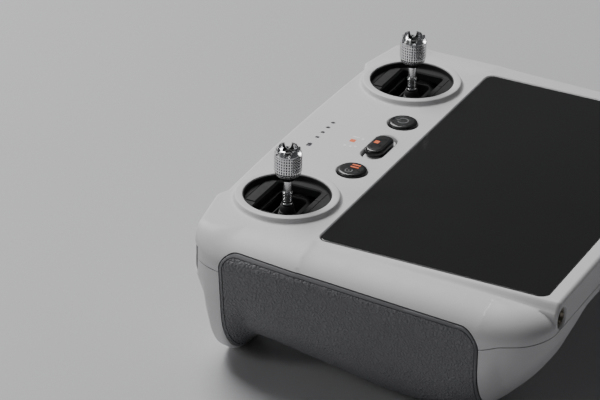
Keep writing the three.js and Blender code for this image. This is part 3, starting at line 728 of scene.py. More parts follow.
def cover_outline(grow, steps=10):
    """Side view (Y, Z) of the rubber grip cover, grown or shrunk."""
    rear, front, top = COVER_REAR + grow, COVER_FRONT - grow, COVER_TOP + grow
    rear_radius, front_radius = REAR_CORNER + grow, FRONT_CORNER + grow
    corners = np.concatenate([
        arc(rear_radius, 0, 90, steps + 1) + [rear - rear_radius, top - rear_radius],
        arc(front_radius, 90, 180, steps + 1) + [front + front_radius, top - front_radius]])
    corners[:, 1] += COVER_FALL * (corners[:, 0] - COVER_REAR)
    return np.concatenate([[(front, -5.0), (rear - 3, -5.0)], corners])


def cover_region(side, grow):
    near = side * (COVER_INNER - grow)
    low, high = sorted((side * 92, near))
    return pushed("cover_region", cover_outline(grow), low, high, axis="x")


KEY_LOW, KEY_HIGH, KEY_MIDDLE = box_mm("record_button")
KEY_CENTRE = (-UPPER_CORNER[0] - 1.45, UPPER_CORNER[1] + 0.35)
KEY_LIP = 1.0


def shoulder_plan(outer, inner, start, end, steps=30):
    """Plan of a part of the left shoulder button: a band round the rounded corner."""
    return arc_band(outer, inner, start, end, steps) + np.array(KEY_CENTRE)


def both_sides(left):
    right = mirror_copy(left, left.name + "_mirror")
    return join(left.name + "_pair", [left, right])


def copy_of(obj):
    return new_object(obj.name + "_copy", obj.data.copy())


DIAL_LOW, DIAL_HIGH, DIAL_AT = box_mm("camera_dial")
DIAL_RADIUS = (DIAL_HIGH[2] - DIAL_LOW[2]) / 2
DIAL_HALF = (DIAL_HIGH[0] - DIAL_LOW[0]) / 2 - 1.5


def side_openings():
    """Holes for the shoulder buttons and the dials, with room behind them."""
    z_low, z_high = KEY_LOW[2], KEY_HIGH[2]
    hole = pushed("hole", shoulder_plan(22, 9.9, 97.6, 136), z_low + 0.7, z_high - 0.7)
    room = pushed("room", shoulder_plan(10.3, 5, 90, 146), z_low - 0.4, z_high + 0.4)
    x, z = -DIAL_AT[0], DIAL_AT[2]
    dial = block("dial_hole", (x - 6.4, 52.6, z - 5), (x + 6.4, 66, z + 5))
    dial_room = block("dial_room", (x - 8.2, 50.6, z - 5.3), (x + 8.2, 59.4, z + 5.3))
    boolean(hole, room, "UNION")
    boolean(dial, dial_room, "UNION")
    return both_sides(join("openings", [hole, dial]))


def flared_bore(name, at, radius, low, top, flare=0.35):
    """A cutter for a round hole whose mouth has a small chamfer."""
    return turned(name, [[0, low], [radius, low], [radius, top - flare], [radius + flare, top],
                         [radius + flare + 1.5, top + 1.5], [0, top + 1.5]], 64, (at[0], at[1], 0))


def flared_slot(name, outline_of, low, top, at, flare=0.25):
    """A cutter for a pocket of some outline whose mouth has a small chamfer."""
    levels = [(low, 0.0), (top - flare, 0.0), (top, flare), (top + 2, flare + 2)]
    return stacked(name, [(outline_of(grow), z) for z, grow in levels], at=(at[0], at[1], 0))


def grown_rect(width, height, radius, steps=8):
    return lambda grow: rounded_outline(width + 2 * grow, height + 2 * grow, radius + grow, steps)


def boss(side):
    """The raised ring round a stick well: flat rim, rounded edges and a hollow fillet to the face."""
    head = rolled(RIM_RADIUS, RIM_Z, 0.6, 0.6, 0, 68, 9)
    foot = [[BOSS_FOOT - 1.2 * math.sin(a), FACE_Z + 1.2 * (1 - math.cos(a))]
            for a in np.radians(np.linspace(68, 0, 9))]
    lip = rolled(WELL_RADIUS, RIM_Z, -0.3, 0.3, 90, 0, 5)
    low, skirt = 42.3, BOSS_FOOT + 0.1
    base = [[skirt, FACE_Z - 0.02], [skirt, low], [WELL_RADIUS, low]]
    return turned("boss", [base[-1], *lip, *head, *foot, *base], 128, (side * STICK_X, STICK_Y, 0))


SLIDER_LOW, SLIDER_HIGH, SLIDER_MIDDLE = box_mm("mode_slider")
SLIDER_X, SLIDER_Y = SLIDER_MIDDLE[:2]
SLOT_LENGTH, SLOT_WIDTH, SLOT_FLOOR = 18.4, 7.6, 43.0
SLOT_OUTLINE = grown_rect(SLOT_LENGTH, SLOT_WIDTH, SLOT_WIDTH / 2 - 0.02, 12)
BUTTON_PLACES = [box_mm(name)[2] for name in ("return_button", "power_button")]
BUTTON_RADIUS = 4.9
STRAP_LOW, STRAP_HIGH, STRAP_AT = box_mm("right_strap_insert")
STRAP_RADIUS = (STRAP_HIGH[0] - STRAP_LOW[0]) / 2
LIGHT_XS = (-4.0, 0.0, 4.0, 7.9)
STATUS_X, LIGHT_Y = -10.0, 51.25
SCREW_NAMES = [f"{word}_screw_{i}" for i in (1, 2, 3) for word, _ in SIDES]


def light_outline(x, inset=0.0):
    """A round light, or the longer oval status light."""
    if x == STATUS_X:
        return rounded_outline(2.7 - 2 * inset, 1.6 - 2 * inset, 0.79 - inset)
    return rounded_outline(1.5 - 2 * inset, 1.5 - 2 * inset, 0.74 - inset)


def front_shell(hollow, openings, seat):
    shell = copy_of(hollow)
    boolean(shell, parting_block(True, SEAM / 2), "INTERSECT")
    posts = []
    for name in SCREW_NAMES:
        low, _, centre = box_mm(name)
        posts.append(cylinder("post", 2.6, low[2] + 4.1, 42.9, 24, (centre[0], centre[1], 0)))
    boolean(shell, join("posts", posts), "UNION")
    boolean(shell, copy_of(openings))
    boolean(shell, copy_of(seat))
    pocket = grown_rect(GLASS_SIZE[0] + 0.5, GLASS_SIZE[1] + 0.5, GLASS_RADIUS + 0.25, 12)
    boolean(shell, flared_slot("pocket", pocket, GLASS_LOW[2] - 0.05, FACE_Z, GLASS_CENTRE, 0.35))
    boolean(shell, pushed("window", rounded_outline(127, 71.6, 2), 36, 60, at=(0, GLASS_CENTRE[1], 0)))
    for _, side in SIDES:
        boolean(shell, cylinder("well", WELL_RADIUS + 2, 30, 60, 96, (side * STICK_X, STICK_Y, 0)))
        boolean(shell, boss(side), "UNION")
    cuts = [flared_bore("bore", at, BUTTON_RADIUS + 0.28, 30, FACE_Z) for at in BUTTON_PLACES]
    cuts.append(flared_slot("slot", SLOT_OUTLINE, SLOT_FLOOR, FACE_Z, (SLIDER_X, SLIDER_Y), 0.35))
    for x in (STATUS_X, *LIGHT_XS):
        cuts.append(pushed("light", light_outline(x), 38, FACE_Z + 1, at=(x, LIGHT_Y, 0)))
    for _, side in SIDES:
        mouth = turned("strap", [[0, -70], [STRAP_RADIUS + 1.4, -70], [STRAP_RADIUS + 1.4, -63.0],
                                 [STRAP_RADIUS + 0.3, -61.3], [STRAP_RADIUS + 0.3, -50], [0, -50]], 48,
                       (side * STRAP_AT[0], 0, STRAP_AT[2]), axis="y")
        cuts.append(mouth)
    cuts.append(pushed("port", rounded_outline(3.9, 9.6, 1.6), -70, -50, axis="y", at=(0, 0, 38.3)))
    cuts.append(pushed("card", rounded_outline(2.4, 13.6, 0.8), -70, -50, axis="y", at=(20, 0, 37.7)))
    boolean(shell, join("cuts", cuts))
    boolean(shell, move(block("key", (-5, -1.4, 38), (5, 1.4, 43.5), 0.2), (SLIDER_X, SLIDER_Y, 0)))
    return form_normals(shell)


def rear_shell(hollow, openings, seat):
    shell = copy_of(hollow)
    boolean(shell, parting_block(False, -SEAM / 2), "INTERSECT")
    boolean(shell, copy_of(seat))
    boolean(shell, copy_of(openings))
    cuts = []
    for name in SCREW_NAMES:
        low, _, centre = box_mm(name)
        seat_z = low[2] + 1.7
        profile = [[0, -6], [3.0, -6], [3.0, seat_z - 2.3], [2.6, seat_z - 1.8], [2.6, seat_z], [1.2, seat_z],
                   [1.2, seat_z + 2.1], [2.9, seat_z + 2.1], [2.9, 50], [0, 50]]
        cuts.append(turned("counterbore", profile, 32, (centre[0], centre[1], 0)))
    for word, _ in SIDES:
        low, high, middle = box_mm(f"{word}_stick_tray")
        slot = rounded_outline(*(high - low - 2 * TRAY_WALL)[:2], 3)
        cuts.append(pushed("tray", slot, 10, 26, at=(middle[0], middle[1], 0)))
        middle = box_mm(f"{word}_custom_button")[2]
        cuts.append(turned("custom", [[0, 10], [5.2, 10], [5.2, 19.6], [4.3, 20.9], [4.3, 26], [0, 26]], 48,
                           (middle[0], middle[1], 0)))
    for k in range(-3, 4):
        cuts.append(pushed("slit", rounded_outline(1.4, 10, 0.68), 10, 26, at=(3 * k, 25, 0)))
    boolean(shell, join("cuts", cuts))
    return form_normals(shell)


def cover_border(y, z):
    """How far inside the cover's outline a point lies, and the outline's outward direction there."""
    middle = (COVER_REAR + COVER_FRONT) / 2
    corner = np.where(y > middle, REAR_CORNER, FRONT_CORNER)
    along = np.abs(y - middle) - (COVER_REAR - COVER_FRONT) / 2 + corner
    up = z - COVER_FALL * (y - COVER_REAR) - (COVER_TOP - corner)
    outer_along, outer_up = np.maximum(along, 0), np.maximum(up, 0)
    reach = np.hypot(outer_along, outer_up)
    inside = corner - reach - np.minimum(np.maximum(along, up), 0)
    nearer = np.stack([np.where(along > up, 1.0, 0.0), np.where(along > up, 0.0, 1.0)], axis=1)
    rounded = np.stack([outer_along, outer_up], axis=1) / np.maximum(reach, 1e-6)[:, None]
    direction = np.where(reach[:, None] > 1e-6, rounded, nearer)
    direction[:, 0] *= np.sign(y - middle)
    return inside, direction


BORDER, GROOVE_WIDTH, GROOVE_DEPTH = 0.75, 0.3, 0.25


def soften_border(cover):
    """Smooth rubber outside the groove, with normals that roll over at the cover's edge."""
    mesh = cover.data
    mesh.materials.append(RUBBER)
    for polygon in mesh.polygons:
        centre = polygon.center / MM
        inside, _ = cover_border(np.array([centre.y]), np.array([centre.z]))
        polygon.material_index = 1 if inside[0] < BORDER + GROOVE_WIDTH else 0
    corner, points = loop_data(mesh)
    inside, direction = cover_border(points[:, 1], points[:, 2])
    outside = np.concatenate([np.zeros((len(points), 1)), direction], axis=1)
    use = (np.abs(inside) < 0.08) & (np.abs((corner * outside).sum(axis=1)) < 0.6)
    corner[use] += 0.75 * outside[use]
    corner /= np.linalg.norm(corner, axis=1, keepdims=True)
    mesh.normals_split_custom_set(corner.tolist())


def grip_cover(word, side, outer, inner):
    cover = copy_of(outer)
    boolean(cover, cover_region(side, 0), "INTERSECT")
    boolean(cover, copy_of(inner))
    groove = cover_region(side, -BORDER)
    boolean(groove, cover_region(side, -BORDER - GROOVE_WIDTH))
    boolean(groove, form_body("core", False, GROOVE_DEPTH, GROOVE_DEPTH, GROOVE_DEPTH))
    boolean(cover, groove)
    cover.name = f"{word}_grip_cover_detail"
    return form_normals(cover)


def casing():
    outer = form_body("outer")
    hollow = copy_of(outer)
    boolean(hollow, form_body("inside", False, SHELL_WALL, FACE_WALL, SHELL_WALL))
    openings = side_openings()
    seat = join("seat", [cover_region(side, SEAM + 0.1) for _, side in SIDES])
    boolean(seat, form_body("seat_floor", False, SEAT_DEPTH, SEAT_DEPTH, SEAT_DEPTH))
    for node, make in (("front_shell", front_shell), ("rear_shell", rear_shell)):
        shell = make(hollow, openings, seat)
        shell.name = f"{node}_detail"
        place(shell, "root", SHELL, "shell", node)
    skin = form_body("skin", False, COVER_SKIN, COVER_SKIN, COVER_SKIN)
    for word, side in SIDES:
        cover = grip_cover(word, side, outer, skin)
        place(cover, "root", PEBBLE, "grip_rubber", f"{word}_grip_cover")
        soften_border(cover)
    for leftover in (outer, hollow, openings, seat, skin):
        bpy.data.objects.remove(leftover)


# ------------ screen and lights


def screen():
    glass = pushed("screen_glass_detail", rounded_outline(GLASS_SIZE[0], GLASS_SIZE[1], GLASS_RADIUS, 16),
                   GLASS_LOW[2], GLASS_HIGH[2], edge=0.25, at=(0, GLASS_CENTRE[1], 0))
    place(shade(glass), "root", GLASS, "screen_glass", "screen_glass")


def indicator_lights():
    """Four small round lenses and an oval status lens, a little below the face."""
    low, high, _ = box_mm("led_light_guide")
    pieces = [block("bar", (low[0], LIGHT_Y - 1.3, low[2]), (high[0], LIGHT_Y + 1.3, 42), 0.3)]
    for x in (STATUS_X, *LIGHT_XS):
        outline = light_outline(x, 0.1)
        pieces.append(pushed("lens", outline, 41.5, FACE_Z - 0.12, edge=0.15, at=(x, LIGHT_Y, 0)))
    guide = join("led_light_guide_detail", pieces)
    place(shade(guide), "root", LENS, "light_lens", "led_light_guide")


# ------------ controls on the face


def mark(name, outline, z, at, body, material, thick=0.03):
    """A printed mark: a very thin plate of some outline."""
    piece = pushed(name, outline, z - 0.1, z + thick, at=(at[0], at[1], 0))
    return place(shade(piece), body, material, "gloss_black")


def face_button(name, body):
    low, high, (x, y, _) = box_mm(name)
    top = high[2]
    edge = rolled(BUTTON_RADIUS, top - 0.14, 0.9, 0.75, 0, 90, 9)
    dish = [[BUTTON_RADIUS - 1.05, top - 0.08], [3.6, top - 0.06], [2.8, top - 0.09], [0, top - 0.1]]
    foot = low[2]
    stem = [[0, foot], [3.4, foot], [3.4, foot + 0.5], [6.2, foot + 0.5], [6.2, 42], [BUTTON_RADIUS, 42]]
    finished(turned("button", stem + edge + dish, 96, (x, y, 0)), name, body, GLOSS, "gloss_black")
    return x, y, top - 0.08


def face_buttons():
    body = "return_key"
    x, y, top = face_button("return_button", body)
    for k, shift in enumerate((0.95, 2.5)):
        bar = rounded_outline(0.72, 2.9, 0.12, 3)
        mark(f"return_mark_{k + 1}", bar, top, (x + shift, y - 0.4), body, ORANGE, 0.09)
    for name, outline in (("arc", arc_band(1.3, 1, 40, 320, 40)), ("dot", circle(0.3, 16))):
        mark(f"return_{name}", outline, top, (x - 1.9, y + 0.4), body, PALE_MARK, 0.07)
    body = "power_key"
    x, y, top = face_button("power_button", body)
    mark("power_arc", arc_band(1.91, 1.59, 125, 415, 40), top, (x, y), body, PALE_MARK, 0.07)
    mark("power_bar", rounded_outline(0.32, 1.5, 0.15, 3), top, (x, y + 1.5), body, PALE_MARK, 0.07)


def mode_switch():
    """A sliding black switch with a square mark, in a slot with a pale tray and marks beside it."""
    size = SLIDER_HIGH - SLIDER_LOW
    outline = rounded_outline(size[0], size[1], size[1] / 2 - 0.02, 16)
    cap = pushed("mode_slider_cap", outline, SLOT_FLOOR + 0.4, SLIDER_HIGH[2] - 0.1, edge=0.9, rings=6)
    step = rounded_outline(size[0] - 2.4, size[1] - 2.4, size[1] / 2 - 1.22, 16)
    boolean(cap, pushed("top", step, SLIDER_HIGH[2] - 0.8, SLIDER_HIGH[2], edge=0.08, rings=6), "UNION")
    stem = block("stem", (-2, -1, SLIDER_LOW[2]), (2, 1, SLOT_FLOOR + 0.6), 0.15)
    centre, body = (SLIDER_X, SLIDER_Y, 0), "mode_switch"
    finished(join("slider", [cap, stem]), "mode_slider", body, GLOSS, "gloss_black", centre)
    square = rounded_outline(1.9, 1.6, 0.2, 3)
    mark("mode_slider_mark", square, SLIDER_HIGH[2], (SLIDER_X + 0.3, SLIDER_Y + 1.1), body, ORANGE, 0.02)
    # The near-black sheet round the tray is painted shade for the gap; the tray itself has the shell's colour
    for name, inset, top, material in (("gap_shade_sheet", 0.15, 0.06, GAP_SHADE_GREY), ("tray", 0.75, 0.3, SHELL)):
        plate = pushed(f"mode_slot_{name}", SLOT_OUTLINE(-inset), SLOT_FLOOR + 0.01, SLOT_FLOOR + top,
                       edge=0.02, rings=6)
        boolean(plate, block("through", (-5, -1.4, 40), (5, 1.4, 45)))
        place(shade(move(plate, centre)), "root", material, "gloss_black")
    legend = [("square", rounded_outline(2.0, 1.9, 0.25, 3), 0, 0, ORANGE),
              ("line", rounded_outline(0.6, 2.5, 0.25, 3), 2.85, 0, WHITE_MARK)]
    for k, (dx, dy) in enumerate(((-4.2, 0.85), (-4.0, -1.1), (-3.4, -2.6), (2.5, -2.6))):
        legend.append((f"dot_{k + 1}", circle(0.48, 20), dx, dy, WHITE_MARK))
    for name, outline, dx, dy, material in legend:
        mark(f"mode_legend_{name}", outline, FACE_Z, (SLIDER_X + dx, SLIDER_Y + 9.7 + dy), "root", material)


# ------------ stick units


def stick_plate(word, centre):
    """The black floor of the well: a flange under the shell and a disc with a trough for the stick."""
    low, high, _ = box_mm(f"{word}_dust_plate")
    flange_top, floor_top = low[2] + 1.2, high[2] - 0.3
    flange = pushed("flange", circle((high[0] - low[0]) / 2, 96), low[2], flange_top, edge=0.1, rings=10)
    boolean(flange, pushed("passage", rounded_outline(25, 12.5, 1), low[2] - 1, flange_top + 1))
    plate = pushed("plate", circle(WELL_RADIUS - 0.35, 96), flange_top - 0.1, floor_top, edge=0.15, rings=14)
    slab = block("slab", (-6.5, 7.4, floor_top - 1), (9.3, 11.4, high[2]), 0.12)
    boolean(plate, slab, "UNION")
    boolean(plate, flared_slot("trough", grown_rect(20, 15.2, 1.2), flange_top - 1, floor_top, (0, 0), 0.4))
    boolean(plate, flange, "UNION")
    seams = [block("seam", (-10.6, y - 0.12, floor_top - 0.2), (10.6, y + 0.12, floor_top + 1), 0.03)
             for y in (-9.7, 11.9)]
    seams += [block("seam", (x - 0.12, -9.9, floor_top - 0.2), (x + 0.12, -7.9, floor_top + 1), 0.03)
              for x in (-6.5, 3.5)]
    boolean(plate, join("seams", seams))
    collar = [[13.7, floor_top - 0.4], [14.2, floor_top - 0.4], [14.2, RIM_Z - 0.42], [14.05, RIM_Z - 0.34],
              [13.9, RIM_Z - 0.4], [13.75, floor_top + 0.25], [13.5, floor_top + 0.03], [13.5, floor_top - 0.4],
              [13.7, floor_top - 0.4]]
    boolean(plate, turned("collar", collar, 128), "UNION")
    finished(plate, f"{word}_dust_plate", "root", PLATE_BLACK, "black_plastic", (centre[0], centre[1], 0))


def stick_ring(word, centre):
    """The outer frame: a curved saddle with a raised border round its window, and two trunnions."""
    ring = pushed("saddle", arc_band(5.98, 5, -10, 190, 49), -10.8, 10.8, axis="x", edge=0.15)
    for radius, low, high, segments in ((6, -11.5, -10.25, 72), (6, 10.25, 11.5, 72),
                                        (1.5, -15.2, -11.3, 32), (1.5, 11.3, 15.2, 32)):
        boolean(ring, round_bar("trunnion", radius, low, high, segments, "x"), "UNION")
    boolean(ring, pushed("window", rounded_outline(17.6, 6.6, 1.4), 2, 8))
    boolean(ring, pushed("rebate", rounded_outline(18.6, 7.8, 1.8), 5.5, 8))
    boolean(ring, cylinder("pivot", 1.4, -8, 8, 32, axis="y"))
    finished(ring, f"{word}_stick_ring", f"{word}_ring", WELL_BLACK, "black_plastic", centre)


def stick_block(word, centre):
    """The inner block: a rounded foot, a cone with fine grooves, and a socket for the pin."""
    profile = [[0, -4.2], [1.3, -4.0], [2.4, -3.5], [3.3, -2.7], [3.85, -1.8], [4.15, -0.8], [4.2, 0.3],
               [4.05, 1.2]]
    for z in (1.9, 2.6, 3.3, 4.0, 4.7, 5.4):
        r = 4.2 - 0.34 * (z - 0.4) * 0.98
        profile += [[r + 0.02, z - 0.14], [r - 0.14, z - 0.07], [r - 0.14, z + 0.07], [r - 0.06, z + 0.14]]
    profile += [[2.3, 6.3], [2.2, 7.1], [2.0, 7.4], [1.5, 7.4], [1.5, 3.5], [0, 3.5]]
    dome = turned("dome", profile, 72)
    boolean(dome, round_bar("pins", 1.1, -5.9, 5.9, 32, "y"), "UNION")
    finished(dome, f"{word}_stick_block", f"{word}_stick", WELL_BLACK, "black_plastic", centre)


def stick_shaft(word, centre):
    """Turned steel pin: thin foot flange, ringed lower length, collar, plain upper length."""
    rings = [[r, 8.7 + k * 0.5 + dz] for k in range(5) for r, dz in ((1.55, 0), (1.55, 0.3), (1.46, 0.4))]
    foot = [[0, 3.8], [1.2, 3.8], [1.2, 7.7], [1.75, 7.7], [1.9, 7.82], [1.9, 8.0], [1.75, 8.12], [1.55, 8.4]]
    collar = [[1.55, 11.25], [1.7, 11.35], [1.75, 11.5], [1.75, 11.8], [1.65, 11.92], [1.4, 12.1], [1.3, 12.4]]
    profile = [*foot, *rings, *collar, [1.3, 22.6], [0, 22.6]]
    shaft = turned("shaft", profile, 64)
    finished(shaft, f"{word}_stick_shaft", f"{word}_stick", STEEL, "polished_steel", centre, 40)


CROWN_TURN = 27.7
KNURL = dict(columns=34, rows=7, low=18.55, high=25.4, depth=0.36,
             radius=4.5, taper=20.4, foot=18.2, pull=0.5)


def barrel(z):
    """Radius of the knob at a height: straight above the taper, and drawn in towards the foot."""
    k = KNURL
    below = np.clip((k["taper"] - np.asarray(z, float)) / (k["taper"] - k["foot"]), 0, 1)
    return k["radius"] - k["pull"] * below ** 1.9


def knurled_band(low_profile, high_profile):
    """A lathe form whose middle band is cut into small squares with a pit in every square."""
    k = KNURL
    around, along = k["columns"] * 8, k["rows"] * 8
    z = np.linspace(k["low"], k["high"], along + 1)
    angles = np.arange(around) * 2 * math.pi / around

    def wave(t):
        return np.minimum(1, 1.7 * (1 - np.abs(2 * (t - np.floor(t)) - 1)))

    across = wave(np.arange(around) / 8)
    rows = wave((z - k["low"]) / (k["high"] - k["low"]) * k["rows"])
    rows[0] = rows[-1] = 1
    lift = barrel(z)[None, :] - k["depth"] * (1 - np.maximum(across[:, None], rows[None, :]))
    columns = []
    for radii, angle in zip(lift, angles):
        r, h = np.concatenate([low_profile, np.stack([radii, z], axis=1), high_profile]).T
        columns.append(np.stack([r * math.cos(angle), r * math.sin(angle), h], axis=1))
    faces = grid_faces(len(columns[0]), around, wrap=True)
    return outward(mesh_object("knurl", np.concatenate(columns), faces))


def stick_knob(word, centre):
    """Knurled metal tip: smooth cone below, square knurl, a toothed crown round a dished top."""
    below = [[0, 22.95], [1.6, 22.95], [1.6, 16.35], [2.1, 16.35], [2.25, 16.5], [3.3, 17.75], [3.7, 18.15],
             [3.95, 18.4]]
    above = [[4.35, 25.42], [4.5, 25.5], [4.48, 25.8], [4.35, 26.2], [4.1, 26.9], [3.95, 27.4], [3.8, 27.62],
             [3.6, 27.7], [3.0, 27.7], [2.8, 27.5], [2.5, 26.0], [2.2, 25.75], [1.6, 25.7], [1.45, 26.1],
             [0.95, 26.15], [0.8, 25.8], [0, 25.75]]
    knob = knurled_band(below, above)
    notch = [(-1.3, 28.6), (-1.1, 27.4), (-0.85, 26.6), (-0.5, 26.0), (0, 25.75), (0.5, 26.0), (0.85, 26.6),
             (1.1, 27.4), (1.3, 28.6)]
    for k in range(3):
        for low, high in ((-6, -2.3), (2.3, 6)):
            tool = pushed("notch", notch, low, high, axis="x")
            tool.data.transform(Matrix.Rotation(math.radians(CROWN_TURN + 60 * k), 4, "Z"))
            boolean(knob, tool)
    finished(knob, f"{word}_stick_knob", f"{word}_stick", STEEL, "polished_steel", centre, 24)
    paint_groove_shade(knob, centre)


def paint_groove_shade(knob, centre):
    """Painted shade: darker, rougher steel where little light reaches, in the pits, in the crown and on the
    cone.
    """
    mesh = knob.data
    mesh.materials.append(SHADE_PAINTED_STEEL)
    for polygon in mesh.polygons:
        across = polygon.center / MM - Vector(centre)
        radius = math.hypot(across.x, across.y)
        deep = radius < barrel(across.z) - 0.25 * KNURL["depth"]
        in_band = KNURL["low"] < across.z < KNURL["high"]
        if (deep and in_band) or across.z < KNURL["low"] or (radius < 2.7 and across.z > 25.6):
            polygon.material_index = 1


def stick_units():
    for word, side in SIDES:
        centre = (side * STICK_X, STICK_Y, PIVOT_Z)
        stick_plate(word, centre)
        stick_ring(word, centre)
        stick_block(word, centre)
        stick_shaft(word, centre)
        stick_knob(word, centre)


# ------------ controls on the edges and the back


def dial(name, body):
    """A roller with fine ribs along its length and plain chamfered ends."""
    count = 40 * 6
    wave = np.array([0, 0.16, 0.2, 0.2, 0.16, 0])[np.arange(count) % 6]
    outline = circle(1, count) * (DIAL_RADIUS - 0.2 + wave)[:, None]
    roller = pushed("roller", outline, -DIAL_HALF, DIAL_HALF, axis="x", edge=0.4)
    boolean(roller, round_bar("axle", 1, -DIAL_HALF - 1.5, DIAL_HALF + 1.5, 32, "x", 0.1), "UNION")
    inner, outer = DIAL_RADIUS - 0.35, DIAL_RADIUS + 1
    for x in (-DIAL_HALF + 1.1, DIAL_HALF - 1.1):
        low, high = x - 0.2, x + 0.2
        profile = [[inner, low], [outer, low], [outer, high], [inner, high], [inner, low]]
        boolean(roller, turned("groove", profile, 96, axis="x"))
    finished(roller, name, body, SHELL, "shell", box_mm(name)[2])


def shoulder_buttons():
    """Curved black keys on the two upper corners: a rounded cap in front of a holding flange."""
    low, high, middle = KEY_LOW[2], KEY_HIGH[2], KEY_MIDDLE[2]
    cap = pushed("cap", shoulder_plan(16.4, 9.5, 100, 133.6, 40), low + KEY_LIP, high - KEY_LIP, edge=0.8)
    flange = pushed("flange", shoulder_plan(9.9, 8.4, 95, 138.6), low, high, edge=0.1)
    boolean(cap, flange, "UNION")
    dimple = turned("dimple", [[0, 15.9], [1.5, 16.1], [2.2, 16.9], [0, 17.5]], 40)
    turn = Matrix.Rotation(math.radians(117), 4, "Z") @ Matrix.Rotation(math.radians(90), 4, "Y")
    dimple.data.transform(turn)
    boolean(cap, move(dimple, (*KEY_CENTRE, middle)))
    right = mirror_copy(cap, "mirrored")
    finished(cap, "record_button", "record_key", BLACK, "black_plastic")
    finished(right, "shutter_button", "shutter_key", BLACK, "black_plastic")


def custom_buttons():
    for word, _ in SIDES:
        low, high, middle = box_mm(f"{word}_custom_button")
        profile = [[0, low[2] + 0.25], [1.6, low[2] + 0.2], [2.6, low[2] + 0.04],
                   *rolled(4.0, low[2], 0.8, -0.8, 90, 0, 8),
                   [4.0, 24.6], [5.2, 24.6], [5.2, high[2]], [0, high[2]]]
        cap = turned("cap", profile, 64, (middle[0], middle[1], 0))
        finished(cap, f"{word}_custom_button", f"{word}_custom", BLACK, "black_plastic")


def stick_trays():
    """Rubber-lined storage slots in the back."""
    for word, _ in SIDES:
        low, high, middle = box_mm(f"{word}_stick_tray")
        width, length = (high - low)[:2]
        tray = pushed("tray", rounded_outline(width, length, 3.4, 12), low[2], high[2], edge=0.2)
        inside = rounded_outline(width - 2 * TRAY_WALL, length - 2 * TRAY_WALL, 3, 12)
        boolean(tray, pushed("inside", inside, low[2] - 1, high[2] - TRAY_WALL))
        finished(tray, f"{word}_stick_tray", "root", RUBBER, "grip_rubber", (middle[0], middle[1], 0))


def screws():
    for name in SCREW_NAMES:
        low, high, centre = box_mm(name)
        seat = low[2] + 1.7
        profile = [[0, low[2]], [1.55, low[2]], [1.95, low[2] + 0.2], [2.2, low[2] + 0.65],
                   [2.2, seat - SEAM], [0.9, seat - SEAM]]
        for z in np.arange(seat + 0.4, high[2] - 0.6, 0.5):
            profile += [[0.7, z], [0.9, z + 0.22], [0.9, z + 0.3]]
        profile += [[0.7, high[2] - 0.3], [0.4, high[2]], [0, high[2]]]
        screw = turned("screw", profile, 32, (centre[0], centre[1], 0))
        lobes = 1.15 + 0.22 * np.cos(6 * np.radians(np.arange(24) * 15))
        star = circle(1, 24) * lobes[:, None]
        boolean(screw, pushed("socket", star, low[2] - 1, low[2] + 1.1, at=(centre[0], centre[1], 0)))
        finished(screw, name, "root", SCREW_STEEL, "screw_steel")


def strap_inserts():
    """Metal bushes with a grooved bore in the lower edge."""
    for word, side in SIDES:
        low, high, _ = box_mm(f"{word}_strap_insert")
        bore = []
        for y in np.arange(low[1] + 0.5, low[1] + 3.2, 0.5):
            bore += [[1.95, y], [1.7, y + 0.25]]
        profile = [[0, high[1]], [STRAP_RADIUS, high[1]], [STRAP_RADIUS, low[1] + 0.3],
                   [STRAP_RADIUS - 0.3, low[1]], [2.3, low[1]], *bore, [1.8, low[1] + 3.3], [0, low[1] + 3.3]]
        insert = turned("insert", profile[::-1], 64, (side * STRAP_AT[0], 0, STRAP_AT[2]), "y")
        finished(insert, f"{word}_strap_insert", "root", INSERT_METAL, "brass_insert")


def ports():
    low, high, middle = box_mm("usb_c_port")
    width, height = high[0] - low[0], high[2] - low[2]
    port = pushed("port", rounded_outline(height, width, 1.6, 12), low[1], high[1], axis="y", edge=0.12)
    mouth = rounded_outline(height - 0.7, width - 0.7, 1.25, 12)
    boolean(port, pushed("mouth", mouth, low[1] - 1, high[1] - 0.7, axis="y"))
    finished(port, "usb_c_port", "root", SCREW_STEEL, "screw_steel", (middle[0], 0, middle[2]))
    tongue = block("usb_c_tongue", (middle[0] - 3.3, low[1] + 0.7, middle[2] - 0.35),
                   (middle[0] + 3.3, high[1] - 0.75, middle[2] + 0.35), 0.15)
    place(shade(tongue), "root", BLACK, "black_plastic")


CARRIED = {
    "stick_housing": BLACK, "return_spring": STEEL, "battery_cell": WRAP, "antenna": FLEX,
    "display_panel": BLACK, "midframe": ALUMINIUM, "display_flex": FLEX, "main_board": BOARD,
    "heat_shield": ALUMINIUM, "key_board": BOARD, "speaker": BLACK, "card_socket": SCREW_STEEL,
    "gimbal_dial_bracket": BLACK, "camera_dial_bracket": BLACK,
}


def carried_nodes():
    """Sealed inner pieces stay as the frame has them, with their own materials."""
    for ending, material in CARRIED.items():
        for name, obj in frame["nodes"].items():
            if name in (ending, f"left_{ending}", f"right_{ending}"):
                obj.data.materials.clear()
                obj.data.materials.append(material)


# ------------ floor, light and camera

AZIMUTH, ELEVATION, ROLL = -64.227, 28.017, 1.407
LENS_MM, SENSOR_MM = 203.33, 36.0
AIM_X, AIM_Y, DISTANCE = -46.2, 36.65, 1074.4


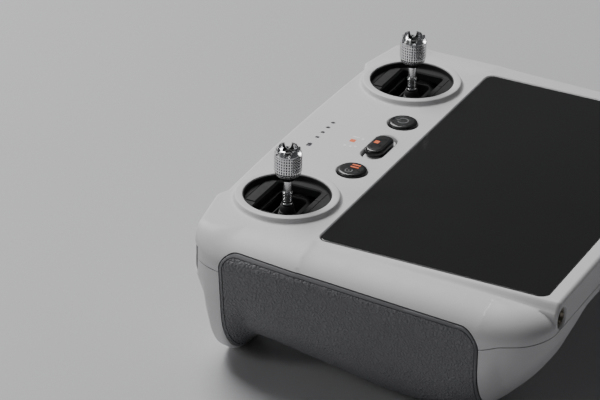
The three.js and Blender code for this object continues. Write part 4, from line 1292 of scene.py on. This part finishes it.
def floor():
    size, z = 2500.0, -0.05
    steps = 24
    line = np.linspace(-size, size, steps)
    plane = mesh_object("floor", [(x, y, z) for x in line for y in line], grid_faces(steps, steps))
    look = Look("pale_floor", (0.47, 0.47, 0.48), 0.55)
    look.tinted(look.noise(3), 0.02).rough(look.noise(8), 0.04).bump(look.noise(900), 0.02)
    plane.data.materials.append(look.material)


def area_light(name, at, toward, size, power):
    data = bpy.data.lights.new(name, "AREA")
    data.shape = "RECTANGLE"
    data.size, data.size_y = size
    data.energy = power
    lamp = bpy.data.objects.new(name, data)
    bpy.context.scene.collection.objects.link(lamp)
    lamp.location = at
    aim = Vector(toward) - Vector(at)
    lamp.rotation_euler = aim.to_track_quat("-Z", "Y").to_euler()


def lights():
    area_light("key", (0.62, 0.95, 1.35), (0, 0, 0.03), (0.9, 0.9), 39)
    area_light("left_strip", (-0.9, 1.3, 0.7), (0, 0, 0.04), (0.25, 0.9), 6)
    area_light("right_strip", (0.75, -1.3, 0.7), (0, 0, 0.04), (0.2, 0.9), 0.8)
    area_light("front_strip", (-1.5, 0.3, 0.6), (0, 0, 0.04), (0.15, 0.5), 0.4)
    world = bpy.data.worlds.new("studio")
    world.use_nodes = True
    background = world.node_tree.nodes["Background"]
    background.inputs["Color"].default_value = (0.8, 0.82, 0.85, 1)
    background.inputs["Strength"].default_value = 0.06
    bpy.context.scene.world = world


def camera():
    data = bpy.data.cameras.new("camera")
    data.lens = LENS_MM
    data.sensor_width = SENSOR_MM
    data.clip_start, data.clip_end = 0.05, 20
    cam = bpy.data.objects.new("camera", data)
    bpy.context.scene.collection.objects.link(cam)
    pan = Matrix.Rotation(math.radians(AZIMUTH), 4, "Z")
    turn = pan @ Matrix.Rotation(math.radians(90 - ELEVATION), 4, "X")
    back = turn @ Vector((0, 0, 1))
    target = Vector((AIM_X, AIM_Y, FACE_Z)) * MM
    place_at = Matrix.Translation(target + back * DISTANCE * MM)
    cam.matrix_world = place_at @ turn @ Matrix.Rotation(math.radians(ROLL), 4, "Z")
    bpy.context.scene.camera = cam


casing()
screen()
indicator_lights()
face_buttons()
mode_switch()
stick_units()
dial("gimbal_dial", "gimbal_wheel")
dial("camera_dial", "camera_wheel")
shoulder_buttons()
custom_buttons()
stick_trays()
screws()
strap_inserts()
ports()
carried_nodes()
floor()
lights()
camera()
